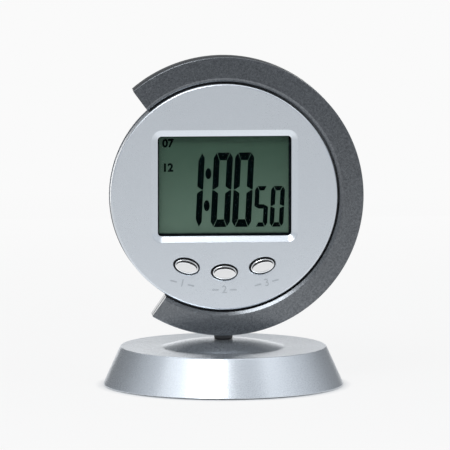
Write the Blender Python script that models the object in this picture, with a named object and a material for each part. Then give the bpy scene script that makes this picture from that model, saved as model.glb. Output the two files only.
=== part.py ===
"""Digital desk clock: a round clock held in an open crescent ring that swivels on a tapered base."""

import math

import bmesh
import bpy
from mathutils import Matrix, Vector

MM = 0.001

# Fits
SEAT_GAP = 0.3 * MM
RUNNING_GAP = 0.2 * MM
BORE_GAP = 0.15 * MM

# Facets
LARGE_STEPS = 48
MIDDLE_STEPS = 28
SMALL_STEPS = 14
SCREW_STEPS = 10
CRESCENT_STEPS = 40
BUTTON_STEPS = 24
DOME_STEPS = 4
OVERLAP = 0.5 * MM

# Small screws
SCREW_RADIUS = 1.0 * MM
SCREW_HEAD_RADIUS = 1.8 * MM
SCREW_HEAD_HEIGHT = 0.8 * MM
SCREW_BORE = SCREW_RADIUS + BORE_GAP
HEAD_BORE = SCREW_HEAD_RADIUS + SEAT_GAP
BOSS_WALL = 1.2 * MM
BOSS_SINK = 0.4 * MM
BOSS_RADIUS = SCREW_BORE + BOSS_WALL

# Base, heights above the desk
BASE_BOTTOM_RADIUS = 40.1 * MM
BASE_TOP_RADIUS = 34.4 * MM
BASE_HEIGHT = 12.6 * MM
BASE_WALL = 1.8 * MM
BASE_EDGE_RADIUS = 0.4 * MM
DOME_RADIUS = 24.4 * MM
DOME_RISE = 2.4 * MM
PAD_THICKNESS = 1.0 * MM
PAD_STANDOFF = 0.5 * MM
PAD_MARGIN = 0.8 * MM
PLATE_WEB = 0.9 * MM
BASE_SCREW_REACH = 5.0 * MM
BASE_SCREW_ANGLES = (90.0, 210.0, 330.0)
BALLAST_THICKNESS = 5.0 * MM
BALLAST_MARGIN = 1.0 * MM
BALLAST_HUB_MARGIN = 6.8 * MM
BASE_RIB_WIDTH = 1.2 * MM
BASE_RIB_DEPTH = 2.0 * MM
BASE_FOOT = PAD_STANDOFF
BASE_TOP = BASE_FOOT + BASE_HEIGHT
DOME_TOP = BASE_TOP + DOME_RISE
PLATE_BOTTOM = PAD_THICKNESS + SEAT_GAP
PLATE_SEAT = PLATE_BOTTOM + SCREW_HEAD_HEIGHT + SEAT_GAP
PLATE_TOP = PLATE_SEAT + PLATE_WEB
BASE_SCREW_CIRCLE = BASE_TOP_RADIUS - BASE_WALL - BOSS_RADIUS - BALLAST_MARGIN

# Swivel
NECK_RADIUS = 3.12 * MM
NECK_VISIBLE = 1.55 * MM
JOURNAL_RADIUS = 2.0 * MM
BUSH_WALL = 0.7 * MM
BUSH_FLANGE = 1.2 * MM
BUSH_FLANGE_RADIUS = 4.4 * MM
SWIVEL_BOSS_WALL = 2.1 * MM
SWIVEL_BOSS_DEPTH = 7.8 * MM
JOURNAL_END_SHOW = 0.1 * MM
FRICTION_WASHER = 0.4 * MM
SWIVEL_SCREW_REACH = 6.0 * MM
TEE_LENGTH = 11.0 * MM
TEE_THICKNESS = 3.0 * MM
JOURNAL_BORE = JOURNAL_RADIUS + RUNNING_GAP
BUSH_RADIUS = JOURNAL_BORE + BUSH_WALL
SWIVEL_BORE = BUSH_RADIUS + RUNNING_GAP
SWIVEL_BOSS_RADIUS = SWIVEL_BORE + SWIVEL_BOSS_WALL
NECK_TOP = DOME_TOP + NECK_VISIBLE

# Display
WINDOW_WIDTH = 44.3 * MM
WINDOW_HEIGHT = 33.4 * MM
WINDOW_CORNER = 0.9 * MM
WINDOW_RISE = 3.74 * MM
WINDOW_BEVEL_WIDTH = 2.1 * MM
WINDOW_BEVEL_DEPTH = 1.6 * MM
GLASS_MARGIN = 1.9 * MM
LENS_THICKNESS = 1.0 * MM
LCD_SHEET = 1.0 * MM
LCD_LEDGE = 2.5 * MM
CARRIER_WALL = 1.4 * MM
ZEBRA_HEIGHT = 2.3 * MM
ZEBRA_MARGIN = 0.4 * MM
ZEBRA_WIDTH = LCD_LEDGE - 2 * ZEBRA_MARGIN
ZEBRA_LENGTH = 0.82 * WINDOW_WIDTH
GLASS_WIDTH = WINDOW_WIDTH + 2 * GLASS_MARGIN
GLASS_HEIGHT = WINDOW_HEIGHT + 2 * GLASS_MARGIN
CARRIER_WIDTH = GLASS_WIDTH + 2 * (CARRIER_WALL + SEAT_GAP)
CARRIER_HEIGHT = GLASS_HEIGHT + 2 * (CARRIER_WALL + SEAT_GAP)
CARRIER_REACH = math.hypot(CARRIER_WIDTH / 2, CARRIER_HEIGHT / 2 + WINDOW_RISE)

# Clock case, depths measured forward from the swivel axis
CASE_MARGIN = 0.77 * MM
CASE_WALL = 1.8 * MM
CASE_DEPTH = 7.7 * MM
FACE_FRONT = 5.5 * MM
FACE_WALL = 2.2 * MM
FACE_EDGE_RADIUS = 0.7 * MM
RIM_WIDTH = 7.0 * MM
RIM_THICKNESS = 1.2 * MM
RIM_OVERHANG = 0.3 * MM
REAR_WALL = 1.5 * MM
REAR_TAPER = 3.8 * MM
REAR_EDGE_RADIUS = 2.2 * MM
CASE_SCREW_REACH = 4.6 * MM
LIP_SCREW_ANGLES = (75.0, 5.0, -65.0)
FREE_SCREW_ANGLE = 180.0
CASE_INSIDE = CARRIER_REACH + CASE_MARGIN
CASE_RADIUS = CASE_INSIDE + CASE_WALL
CASE_SCREW_CIRCLE = CASE_INSIDE - BOSS_RADIUS + BOSS_SINK
FACE_BACK = FACE_FRONT - FACE_WALL
BEZEL_BACK = FACE_FRONT - CASE_DEPTH
RIM_FRONT = BEZEL_BACK - SEAT_GAP
RIM_BACK = RIM_FRONT - RIM_THICKNESS
LENS_FRONT = FACE_BACK - SEAT_GAP
LCD_FRONT = LENS_FRONT - LENS_THICKNESS - SEAT_GAP
LCD_STEP = LCD_FRONT - LCD_SHEET
RIM_RADIUS = CASE_RADIUS + RIM_OVERHANG
REAR_FOOT_RADIUS = CASE_RADIUS - RIM_WIDTH
REAR_FLAT_RADIUS = REAR_FOOT_RADIUS - REAR_TAPER

# Crescent ring, angles in degrees anticlockwise from the right as seen from the front
CRESCENT_GAP = 0.65 * MM
CRESCENT_WIDTH = 8.05 * MM
CRESCENT_SETBACK = 0.5 * MM
CRESCENT_FRONT_DEPTH = 3.5 * MM
CRESCENT_WALL = 1.5 * MM
CRESCENT_EDGE_RADIUS = 0.5 * MM
CRESCENT_CORNER = 0.5 * MM
CRESCENT_FRONT_FALL = 0.55 * MM
CRESCENT_CHAMFER_WIDTH = 1.4 * MM
CRESCENT_CHAMFER_DEPTH = 0.9 * MM
CRESCENT_START_ANGLE = -120.6
CRESCENT_END_ANGLE = 131.0
CRESCENT_SCREW_ANGLES = (113.0, 38.0, -37.0, -107.0)
PARTING_GROOVE = 0.3 * MM
LIP_THICKNESS = 1.3 * MM
LIP_GAP = 0.6 * MM
CRESCENT_INNER_RADIUS = CASE_RADIUS + CRESCENT_GAP
CRESCENT_OUTER_RADIUS = CRESCENT_INNER_RADIUS + CRESCENT_WIDTH
CRESCENT_FRONT = FACE_FRONT - CRESCENT_SETBACK
CRESCENT_PARTING = CRESCENT_FRONT - CRESCENT_FRONT_DEPTH
LIP_FRONT = RIM_BACK - SEAT_GAP
CRESCENT_BACK = LIP_FRONT - LIP_THICKNESS
LIP_INNER_RADIUS = REAR_FOOT_RADIUS + LIP_GAP
CAVITY_INNER = CRESCENT_INNER_RADIUS + CRESCENT_WALL
CAVITY_OUTER = CRESCENT_OUTER_RADIUS - CRESCENT_WALL
CAVITY_MIDDLE = (CAVITY_INNER + CAVITY_OUTER) / 2
HEAD_HEIGHT = NECK_TOP + CRESCENT_OUTER_RADIUS

# Electronics
BOARD_THICKNESS = 1.2 * MM
BOARD_MARGIN = 0.5 * MM
BOARD_POST_RADIUS = 1.8 * MM
BOARD_POST_ANGLES = (35.0, 145.0, 212.0, 328.0)
CHIP_RADIUS = 4.5 * MM
CHIP_RISE = 1.6 * MM
CHIP_ANGLE = 123.0
CRYSTAL_RADIUS = 1.0 * MM
CRYSTAL_LENGTH = 6.0 * MM
CRYSTAL_ANGLE = 58.0
BUZZER_RADIUS = 7.0 * MM
BUZZER_THICKNESS = 0.8 * MM
BUZZER_RIB = 0.8 * MM
BUZZER_RIB_HEIGHT = 1.6 * MM
SOUND_HOLE_RADIUS = 0.6 * MM
SOUND_HOLE_CIRCLE = 3.2 * MM
BOARD_FRONT = LCD_STEP - SEAT_GAP - ZEBRA_HEIGHT - SEAT_GAP
BOARD_BACK = BOARD_FRONT - BOARD_THICKNESS
BOARD_RADIUS = REAR_FOOT_RADIUS - REAR_WALL - BOARD_MARGIN
BOARD_PART_CIRCLE = 0.82 * BOARD_RADIUS

# Buttons
BUTTON_HALF_LENGTH = 3.95 * MM
BUTTON_HALF_HEIGHT = 2.25 * MM
BUTTON_GAP = 0.55 * MM
BUTTON_STAND = 0.6 * MM
BUTTON_RIM = 0.4 * MM
BUTTON_CAP = 1.3 * MM
BUTTON_EDGE = 0.25 * MM
BUTTON_FLANGE = 1.3 * MM
BUTTON_FLANGE_THICKNESS = 0.8 * MM
BUTTON_STEM_RADIUS = 1.2 * MM
BUTTON_SPACING = 4.75 * MM
BUTTON_EDGE_MARGIN = 12.68 * MM
BUTTON_SAG = 2.1 * MM
BUTTON_TILT_ANGLE = 14.0
SWITCH_DOME_RADIUS = 2.1 * MM
SWITCH_DOME_HEIGHT = ZEBRA_HEIGHT - 2 * SEAT_GAP
BUTTON_SPREAD = 2 * BUTTON_HALF_LENGTH + BUTTON_SPACING
BUTTON_MIDDLE_DROP = CASE_RADIUS - BUTTON_EDGE_MARGIN
BUTTON_SIDE_DROP = BUTTON_MIDDLE_DROP - BUTTON_SAG

# Battery
CELL_RADIUS = 10.0 * MM
CELL_THICKNESS = 3.2 * MM
BATTERY_DROP = 7.0 * MM
WELL_WALL = 1.5 * MM
WELL_FLOOR = 0.8 * MM
WELL_BOARD_GAP = 0.4 * MM
CONTACT_THICKNESS = 0.3 * MM
CONTACT_WIDTH = 4.0 * MM
DOOR_THICKNESS = 1.2 * MM
DOOR_SKIRT_WALL = 0.7 * MM
DOOR_SKIRT_GAP = 0.5 * MM
DOOR_LEDGE = 0.8 * MM
DOOR_TAB_THICKNESS = 0.8 * MM
DOOR_TAB_REACH = 1.7 * MM
DOOR_TAB_ANGLE = 40.0
DOOR_OPEN_ANGLE = -45.0
DOOR_NOTCH_ANGLE = 3.0
DOOR_SLOT_LENGTH = 14.0 * MM
DOOR_SLOT_WIDTH = 1.8 * MM
DOOR_SLOT_DEPTH = 0.7 * MM
WELL_FRONT = BOARD_BACK - WELL_BOARD_GAP
WELL_BACK = WELL_FRONT - WELL_FLOOR
CONTACT_FRONT = WELL_BACK - SEAT_GAP
CELL_FRONT = CONTACT_FRONT - CONTACT_THICKNESS - SEAT_GAP
CELL_BACK = CELL_FRONT - CELL_THICKNESS
DOOR_INSIDE = CELL_BACK - SEAT_GAP
REAR_BACK = DOOR_INSIDE - DOOR_THICKNESS
REAR_INSIDE = REAR_BACK + REAR_WALL
LEDGE_BACK = DOOR_INSIDE + SEAT_GAP
LEDGE_FRONT = LEDGE_BACK + DOOR_LEDGE
TAB_BACK = LEDGE_FRONT + SEAT_GAP
TAB_FRONT = TAB_BACK + DOOR_TAB_THICKNESS
GROOVE_FRONT = TAB_FRONT + SEAT_GAP
SKIRT_INNER = CELL_RADIUS + DOOR_SKIRT_GAP
SKIRT_OUTER = SKIRT_INNER + DOOR_SKIRT_WALL
WELL_RADIUS = SKIRT_OUTER + SEAT_GAP
TAB_RADIUS = SKIRT_OUTER + DOOR_TAB_REACH
GROOVE_RADIUS = TAB_RADIUS + SEAT_GAP
DOOR_RADIUS = GROOVE_RADIUS + RUNNING_GAP
RECESS_RADIUS = DOOR_RADIUS + SEAT_GAP
WELL_OUTER = RECESS_RADIUS + WELL_WALL
BUZZER_RISE = WELL_OUTER - BATTERY_DROP + BUZZER_RADIUS + BUZZER_RIB + 2 * SEAT_GAP


def clear_scene():
    for item in list(bpy.data.objects):
        bpy.data.objects.remove(item, do_unlink=True)


def make_finish(name, colour, roughness, metallic=0.0):
    finish = bpy.data.materials.new(name)
    finish.use_nodes = True
    shader = finish.node_tree.nodes["Principled BSDF"]
    shader.inputs["Base Color"].default_value = (*colour, 1.0)
    shader.inputs["Roughness"].default_value = roughness
    shader.inputs["Metallic"].default_value = metallic
    return finish


def make_frame(name, parent=None, location=(0, 0, 0), rotation=(0, 0, 0)):
    frame = bpy.data.objects.new(name, None)
    bpy.context.scene.collection.objects.link(frame)
    frame.parent = parent
    frame.location = location
    frame.rotation_euler = rotation
    return frame


def make_piece(name, shape, finish, parent, location=(0, 0, 0), turn=0.0):
    mesh = bpy.data.meshes.new(name)
    shape.to_mesh(mesh)
    shape.free()
    mesh.materials.append(finish)
    mesh.shade_smooth()
    mesh.set_sharp_from_angle(angle=math.radians(35))
    piece = bpy.data.objects.new(name, mesh)
    bpy.context.scene.collection.objects.link(piece)
    piece.parent = parent
    piece.location = location
    piece.rotation_euler = (0, 0, turn)
    return piece


def combine(piece, shape, operation):
    mesh = bpy.data.meshes.new(piece.name + "_tool")
    shape.to_mesh(mesh)
    shape.free()
    tool = bpy.data.objects.new(mesh.name, mesh)
    bpy.context.scene.collection.objects.link(tool)
    tool.parent = piece
    tool.hide_render = True
    tool.display_type = "WIRE"
    step = piece.modifiers.new(operation.lower(), "BOOLEAN")
    step.operation = operation
    step.solver = "EXACT"
    step.object = tool


def add(piece, *shapes):
    combine(piece, gather(shapes), "UNION")


def cut(piece, *shapes):
    combine(piece, gather(shapes), "DIFFERENCE")


def gather(shapes):
    whole = bmesh.new()
    for shape in shapes:
        mesh = bpy.data.meshes.new("gathered")
        shape.to_mesh(mesh)
        shape.free()
        whole.from_mesh(mesh)
        bpy.data.meshes.remove(mesh)
    return whole


def close_up(shape):
    bmesh.ops.remove_doubles(shape, verts=shape.verts[:], dist=0.000001)
    bmesh.ops.recalc_face_normals(shape, faces=shape.faces[:])
    return shape


def turned(profile, steps, start=0.0, sweep=360.0, centre=(0, 0)):
    """A profile of (radius, height) points turned about the Z axis through the centre."""
    shape = bmesh.new()
    verts = [shape.verts.new((radius, 0, height)) for radius, height in profile]
    on_axis = profile[0][0] == 0 and profile[-1][0] == 0
    pairs = list(zip(verts, verts[1:]))
    if not on_axis:
        pairs.append((verts[-1], verts[0]))
    edges = [shape.edges.new(pair) for pair in pairs]
    bmesh.ops.rotate(shape, verts=verts, cent=(0, 0, 0),
                     matrix=Matrix.Rotation(math.radians(start), 3, "Z"))
    whole = sweep == 360.0
    made = bmesh.ops.spin(shape, geom=verts + edges, cent=(0, 0, 0), axis=(0, 0, 1),
                          angle=math.radians(sweep), steps=steps, use_merge=whole)
    if not whole:
        shape.faces.new(verts)
        last = [item for item in made["geom_last"] if isinstance(item, bmesh.types.BMEdge)]
        bmesh.ops.contextual_create(shape, geom=last)
    bmesh.ops.translate(shape, verts=shape.verts[:], vec=(*centre, 0))
    return close_up(shape)


def stacked(sections):
    """Flat outlines at rising heights, each with the same number of points, joined into a solid."""
    shape = bmesh.new()
    rings = []
    for outline, height in sections:
        rings.append([shape.verts.new((x, y, height)) for x, y in outline])
    for lower, upper in zip(rings, rings[1:]):
        count = len(lower)
        for n in range(count):
            m = (n + 1) % count
            shape.faces.new((lower[n], lower[m], upper[m], upper[n]))
    shape.faces.new(rings[0])
    shape.faces.new(rings[-1])
    return close_up(shape)


def slab(outline, low, high):
    return stacked([(outline, low), (outline, high)])


def rod(radius, low, high, steps, centre=(0, 0)):
    return slab(ellipse(radius, radius, steps, centre), low, high)


def block(width, height, low, high, centre=(0, 0)):
    return slab(rectangle(width, height, centre), low, high)


def ellipse(half_length, half_height, steps, centre=(0, 0), tilt=0.0):
    lean = math.radians(tilt)
    points = []
    for n in range(steps):
        angle = math.tau * n / steps
        x = half_length * math.cos(angle)
        y = half_height * math.sin(angle)
        points.append((centre[0] + x * math.cos(lean) - y * math.sin(lean),
                       centre[1] + x * math.sin(lean) + y * math.cos(lean)))
    return points


def rectangle(width, height, centre=(0, 0)):
    return [(centre[0] + x * width / 2, centre[1] + y * height / 2)
            for x, y in ((-1, -1), (1, -1), (1, 1), (-1, 1))]


def rounded_rectangle(width, height, corner, centre=(0, 0), steps=4):
    return rounded([(x, y, corner) for x, y in rectangle(width, height, centre)], steps)


def rounded(corners, steps=2):
    """Points of a closed outline whose (x, y, radius) corners are replaced by arcs."""
    points = []
    count = len(corners)
    for n in range(count):
        x, y, radius = corners[n]
        here = Vector((x, y))
        if radius == 0:
            points.append((x, y))
            continue
        before = (Vector(corners[n - 1][:2]) - here).normalized()
        after = (Vector(corners[(n + 1) % count][:2]) - here).normalized()
        half = before.angle(after) / 2
        middle = here + (before + after).normalized() * radius / math.sin(half)
        first = here + before * radius / math.tan(half) - middle
        last = here + after * radius / math.tan(half) - middle
        for step in range(steps + 1):
            share = step / steps
            arm = first * (1 - share) + last * share
            points.append(tuple(middle + arm.normalized() * radius))
    return points


def polar(radius, angle):
    return (radius * math.cos(math.radians(angle)), radius * math.sin(math.radians(angle)))


def swung(shape, angle):
    """A shape turned by an angle about the Z axis."""
    bmesh.ops.rotate(shape, verts=shape.verts[:], cent=(0, 0, 0),
                     matrix=Matrix.Rotation(math.radians(angle), 3, "Z"))
    return shape


def laid_forward(shape):
    """Stands a shape made along Z on the head's upward axis instead."""
    bmesh.ops.rotate(shape, verts=shape.verts[:], cent=(0, 0, 0),
                     matrix=Matrix.Rotation(math.radians(-90), 3, "X"))
    return shape


def dome_height(radius, drop):
    """Height of the base's dome at a radius, measured on a surface lying a drop below the outside."""
    ball = (DOME_RADIUS ** 2 + DOME_RISE ** 2) / (2 * DOME_RISE)
    inside = ball - drop
    return DOME_TOP - ball + math.sqrt(inside ** 2 - radius ** 2)


def base_inner_radius(height):
    taper = (BASE_BOTTOM_RADIUS - BASE_TOP_RADIUS) / BASE_HEIGHT
    outer = BASE_BOTTOM_RADIUS - taper * (height - BASE_FOOT)
    return outer - BASE_WALL * math.sqrt(1 + taper ** 2)


def add_screw(name, parent, place, seat, end):
    """A pan-head screw along Z: its head hangs below the seat and its shank rises to the end."""
    top = seat - SCREW_HEAD_HEIGHT
    middle = seat - SCREW_HEAD_HEIGHT / 2
    shape = turned([(0, top), (0.8 * SCREW_HEAD_RADIUS, top), (SCREW_HEAD_RADIUS, middle),
                    (SCREW_HEAD_RADIUS, seat), (SCREW_RADIUS, seat), (SCREW_RADIUS, end), (0, end)],
                   SCREW_STEPS)
    screw = make_piece(name, shape, steel, parent, (*place, 0))
    arm = 0.55 * SCREW_HEAD_RADIUS
    slot = 0.15 * SCREW_HEAD_RADIUS
    cross = [(slot, slot), (slot, arm), (-slot, arm), (-slot, slot), (-arm, slot), (-arm, -slot),
             (-slot, -slot), (-slot, -arm), (slot, -arm), (slot, -slot), (arm, -slot), (arm, slot)]
    cut(screw, slab(cross, top - OVERLAP, middle))


def build_base(stand):
    places = [polar(BASE_SCREW_CIRCLE, angle) for angle in BASE_SCREW_ANGLES]
    boss_end = DOME_TOP - SWIVEL_BOSS_DEPTH
    outer_dome = []
    inner_dome = []
    for n in range(DOME_STEPS + 1):
        share = n / DOME_STEPS
        radius = DOME_RADIUS + (SWIVEL_BORE - DOME_RADIUS) * share
        outer_dome.append((radius, dome_height(radius, 0), 0))
        radius = SWIVEL_BOSS_RADIUS + (DOME_RADIUS - SWIVEL_BOSS_RADIUS) * share
        inner_dome.append((radius, dome_height(radius, BASE_WALL), 0))
    ceiling = inner_dome[-1][1]
    profile = [(BASE_BOTTOM_RADIUS, BASE_FOOT, 0), (BASE_TOP_RADIUS, BASE_TOP, BASE_EDGE_RADIUS),
               *outer_dome, (SWIVEL_BORE, boss_end, 0), (SWIVEL_BOSS_RADIUS, boss_end, 0), *inner_dome,
               (base_inner_radius(ceiling), ceiling, 0), (base_inner_radius(BASE_FOOT), BASE_FOOT, 0)]
    shell = make_piece("base_shell", turned(rounded(profile), LARGE_STEPS), silver, stand)
    boss_foot = PLATE_TOP + SEAT_GAP
    rib_start = SWIVEL_BOSS_RADIUS - OVERLAP
    rib_end = BASE_SCREW_CIRCLE - BOSS_RADIUS + OVERLAP
    add(shell, *[rod(BOSS_RADIUS, boss_foot, ceiling + OVERLAP, SMALL_STEPS, place) for place in places])
    add(shell, *[swung(block(rib_end - rib_start, BASE_RIB_WIDTH, ceiling - BASE_RIB_DEPTH,
                             ceiling + OVERLAP, ((rib_end + rib_start) / 2, 0)), angle)
                 for angle in BASE_SCREW_ANGLES])
    cut(shell, *[rod(SCREW_BORE, boss_foot - OVERLAP, boss_foot + BASE_SCREW_REACH, SCREW_STEPS, place)
                 for place in places])

    edge = [(base_inner_radius(height) - SEAT_GAP, height) for height in (PLATE_BOTTOM, PLATE_TOP)]
    plate = make_piece("base_plate", turned([(0, PLATE_BOTTOM), *edge, (0, PLATE_TOP)], LARGE_STEPS),
                       black_plastic, stand)
    cut(plate, *[rod(HEAD_BORE, PLATE_BOTTOM - OVERLAP, PLATE_SEAT, SMALL_STEPS, place)
                 for place in places])
    cut(plate, *[rod(SCREW_BORE, PLATE_BOTTOM, PLATE_TOP + OVERLAP, SCREW_STEPS, place)
                 for place in places])
    for n, place in enumerate(places, 1):
        add_screw(f"base_screw_{n}", stand, place, PLATE_SEAT - SEAT_GAP,
                  boss_foot + BASE_SCREW_REACH - SEAT_GAP)

    low = PLATE_TOP + SEAT_GAP
    high = low + BALLAST_THICKNESS
    inner = SWIVEL_BOSS_RADIUS + BALLAST_HUB_MARGIN
    outer = BASE_SCREW_CIRCLE - BOSS_RADIUS - BALLAST_MARGIN
    make_piece("ballast_ring", turned([(outer, low), (outer, high), (inner, high), (inner, low)],
                                      MIDDLE_STEPS), steel, stand)
    make_piece("base_pad", rod(base_inner_radius(BASE_FOOT) - PAD_MARGIN, 0, PAD_THICKNESS, LARGE_STEPS),
               foam, stand)


def build_swivel(stand, swivel):
    bush_end = DOME_TOP - SWIVEL_BOSS_DEPTH - SEAT_GAP
    make_piece("swivel_bush", turned([(BUSH_RADIUS, DOME_TOP), (JOURNAL_BORE, DOME_TOP),
                                      (JOURNAL_BORE, bush_end - BUSH_FLANGE),
                                      (BUSH_FLANGE_RADIUS, bush_end - BUSH_FLANGE),
                                      (BUSH_FLANGE_RADIUS, bush_end), (BUSH_RADIUS, bush_end)],
                                     SMALL_STEPS), black_plastic, stand)

    journal_end = bush_end - BUSH_FLANGE - JOURNAL_END_SHOW
    neck_foot = DOME_TOP + SEAT_GAP
    half = TEE_LENGTH / 2
    tee_foot = HEAD_HEIGHT - math.sqrt(CAVITY_OUTER ** 2 - half ** 2) + SEAT_GAP
    post = make_piece("swivel_post", turned([(0, tee_foot + OVERLAP), (NECK_RADIUS, tee_foot + OVERLAP),
                                             (NECK_RADIUS, neck_foot), (JOURNAL_RADIUS, neck_foot),
                                             (JOURNAL_RADIUS, journal_end), (0, journal_end)],
                                            2 * SMALL_STEPS), dark_metal, swivel)
    front = CRESCENT_FRONT - CRESCENT_WALL - SEAT_GAP
    back = CRESCENT_BACK + CRESCENT_WALL + SEAT_GAP
    add(post, block(TEE_LENGTH, front - back, tee_foot, tee_foot + TEE_THICKNESS,
                    (0, -(front + back) / 2)))
    cut(post, rod(SCREW_BORE, journal_end - OVERLAP, journal_end + SWIVEL_SCREW_REACH, SCREW_STEPS))

    washer = journal_end - SEAT_GAP
    make_piece("friction_washer", turned([(BUSH_FLANGE_RADIUS, washer), (SCREW_BORE, washer),
                                          (SCREW_BORE, washer - FRICTION_WASHER),
                                          (BUSH_FLANGE_RADIUS, washer - FRICTION_WASHER)], SMALL_STEPS),
               steel, swivel)
    add_screw("swivel_screw", swivel, (0, 0), washer - FRICTION_WASHER - SEAT_GAP,
              journal_end + SWIVEL_SCREW_REACH - SEAT_GAP)


def ring_sweep(profile, trim=0.0):
    """A ring profile swept over the crescent's arc, shortened at both ends by a trim in degrees."""
    sweep = CRESCENT_END_ANGLE - CRESCENT_START_ANGLE - 2 * trim
    return turned(profile, CRESCENT_STEPS, CRESCENT_START_ANGLE + trim, sweep)


def ring_corners(low, high):
    """Cutters that round the crescent's outer corners at both ends."""
    middle = CRESCENT_OUTER_RADIUS - CRESCENT_CORNER
    beyond = CRESCENT_OUTER_RADIUS + OVERLAP
    outline = [(middle, -OVERLAP), (beyond, -OVERLAP), (beyond, CRESCENT_CORNER)]
    for n in range(4):
        x, y = polar(CRESCENT_CORNER, -30 * n)
        outline.append((middle + x, CRESCENT_CORNER + y))
    cutters = []
    for angle, side in ((CRESCENT_START_ANGLE, 1), (CRESCENT_END_ANGLE, -1)):
        cutters.append(swung(slab([(x, side * y) for x, y in outline], low, high), angle))
    return cutters


def build_crescent(head):
    places = [polar(CAVITY_MIDDLE, angle) for angle in CRESCENT_SCREW_ANGLES]
    end_trim = math.degrees(CRESCENT_WALL / CAVITY_MIDDLE)
    post_hole = (NECK_RADIUS + RUNNING_GAP, -CRESCENT_OUTER_RADIUS - OVERLAP, -CAVITY_MIDDLE,
                 2 * SMALL_STEPS)

    low = CRESCENT_PARTING
    profile = rounded([(CRESCENT_INNER_RADIUS, low, 0),
                       (CRESCENT_INNER_RADIUS, CRESCENT_FRONT - CRESCENT_CHAMFER_DEPTH, 0),
                       (CRESCENT_INNER_RADIUS + CRESCENT_CHAMFER_WIDTH, CRESCENT_FRONT, 0),
                       (CRESCENT_OUTER_RADIUS, CRESCENT_FRONT - CRESCENT_FRONT_FALL, CRESCENT_EDGE_RADIUS),
                       (CRESCENT_OUTER_RADIUS, low, 0)])
    front = make_piece("crescent_front", ring_sweep(profile), gunmetal, head)
    ceiling = CRESCENT_FRONT - CRESCENT_WALL
    cut(front, ring_sweep([(CAVITY_INNER, low - OVERLAP), (CAVITY_OUTER, low - OVERLAP),
                           (CAVITY_OUTER, ceiling), (CAVITY_INNER, ceiling)], end_trim),
        *ring_corners(low - OVERLAP, CRESCENT_FRONT + OVERLAP))
    add(front, *[rod(BOSS_RADIUS, low, ceiling + OVERLAP, SMALL_STEPS, place) for place in places])
    cut(front, *[rod(SCREW_BORE, low - OVERLAP, ceiling, SCREW_STEPS, place) for place in places],
        laid_forward(rod(*post_hole)))

    high = low - PARTING_GROOVE
    profile = rounded([(CRESCENT_INNER_RADIUS, high, 0), (CRESCENT_OUTER_RADIUS, high, 0),
                       (CRESCENT_OUTER_RADIUS, CRESCENT_BACK, CRESCENT_EDGE_RADIUS),
                       (LIP_INNER_RADIUS, CRESCENT_BACK, 0), (LIP_INNER_RADIUS, LIP_FRONT, 0),
                       (CRESCENT_INNER_RADIUS, LIP_FRONT, 0)])
    back = make_piece("crescent_back", ring_sweep(profile), gunmetal, head)
    floor = CRESCENT_BACK + CRESCENT_WALL
    cut(back, ring_sweep([(CAVITY_INNER, floor), (CAVITY_OUTER, floor), (CAVITY_OUTER, high + OVERLAP),
                          (CAVITY_INNER, high + OVERLAP)], end_trim),
        *ring_corners(CRESCENT_BACK - OVERLAP, high + OVERLAP))
    add(back, *[rod(BOSS_RADIUS, floor - OVERLAP, high, SMALL_STEPS, place) for place in places])
    seat = CRESCENT_BACK + SCREW_HEAD_HEIGHT + 2 * SEAT_GAP
    cut(back, *[rod(HEAD_BORE, CRESCENT_BACK - OVERLAP, seat, SMALL_STEPS, place) for place in places])
    lip_places = [polar(CASE_SCREW_CIRCLE, angle) for angle in LIP_SCREW_ANGLES]
    cut(back, *[rod(SCREW_BORE, CRESCENT_BACK - OVERLAP, high + OVERLAP, SCREW_STEPS, place)
                for place in places + lip_places], laid_forward(rod(*post_hole)))
    for n, place in enumerate(places, 1):
        add_screw(f"crescent_screw_{n}", head, place, seat - SEAT_GAP, ceiling - SEAT_GAP)


def button_places():
    return {"left": (-BUTTON_SPREAD, -BUTTON_SIDE_DROP, -BUTTON_TILT_ANGLE),
            "middle": (0.0, -BUTTON_MIDDLE_DROP, 0.0),
            "right": (BUTTON_SPREAD, -BUTTON_SIDE_DROP, BUTTON_TILT_ANGLE)}


def build_bezel(head):
    profile = rounded([(0, FACE_FRONT, 0), (CASE_RADIUS, FACE_FRONT, FACE_EDGE_RADIUS),
                       (CASE_RADIUS, BEZEL_BACK, 0), (CASE_INSIDE, BEZEL_BACK, 0),
                       (CASE_INSIDE, FACE_BACK, 0), (0, FACE_BACK, 0)])
    bezel = make_piece("front_bezel", turned(profile, LARGE_STEPS), silver, head)
    places = [polar(CASE_SCREW_CIRCLE, angle) for angle in (*LIP_SCREW_ANGLES, FREE_SCREW_ANGLE)]
    add(bezel, *[rod(BOSS_RADIUS, BEZEL_BACK, FACE_BACK + OVERLAP, SMALL_STEPS, place)
                 for place in places])
    window = rounded_rectangle(WINDOW_WIDTH, WINDOW_HEIGHT, WINDOW_CORNER, (0, WINDOW_RISE))
    slope = WINDOW_BEVEL_WIDTH
    mouth = rounded_rectangle(WINDOW_WIDTH + 2 * slope, WINDOW_HEIGHT + 2 * slope, WINDOW_CORNER + slope,
                              (0, WINDOW_RISE))
    cut(bezel, stacked([(window, FACE_BACK - OVERLAP), (window, FACE_FRONT - WINDOW_BEVEL_DEPTH),
                        (mouth, FACE_FRONT), (mouth, FACE_FRONT + OVERLAP)]))
    holes = []
    for x, y, tilt in button_places().values():
        outline = ellipse(BUTTON_HALF_LENGTH + BUTTON_GAP, BUTTON_HALF_HEIGHT + BUTTON_GAP, BUTTON_STEPS,
                          (x, y), tilt)
        holes.append(slab(outline, FACE_BACK - OVERLAP, FACE_FRONT + OVERLAP))
    cut(bezel, *holes)
    bore_end = BEZEL_BACK + CASE_SCREW_REACH
    cut(bezel, *[rod(SCREW_BORE, BEZEL_BACK - OVERLAP, bore_end, SCREW_STEPS, place) for place in places])


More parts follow.
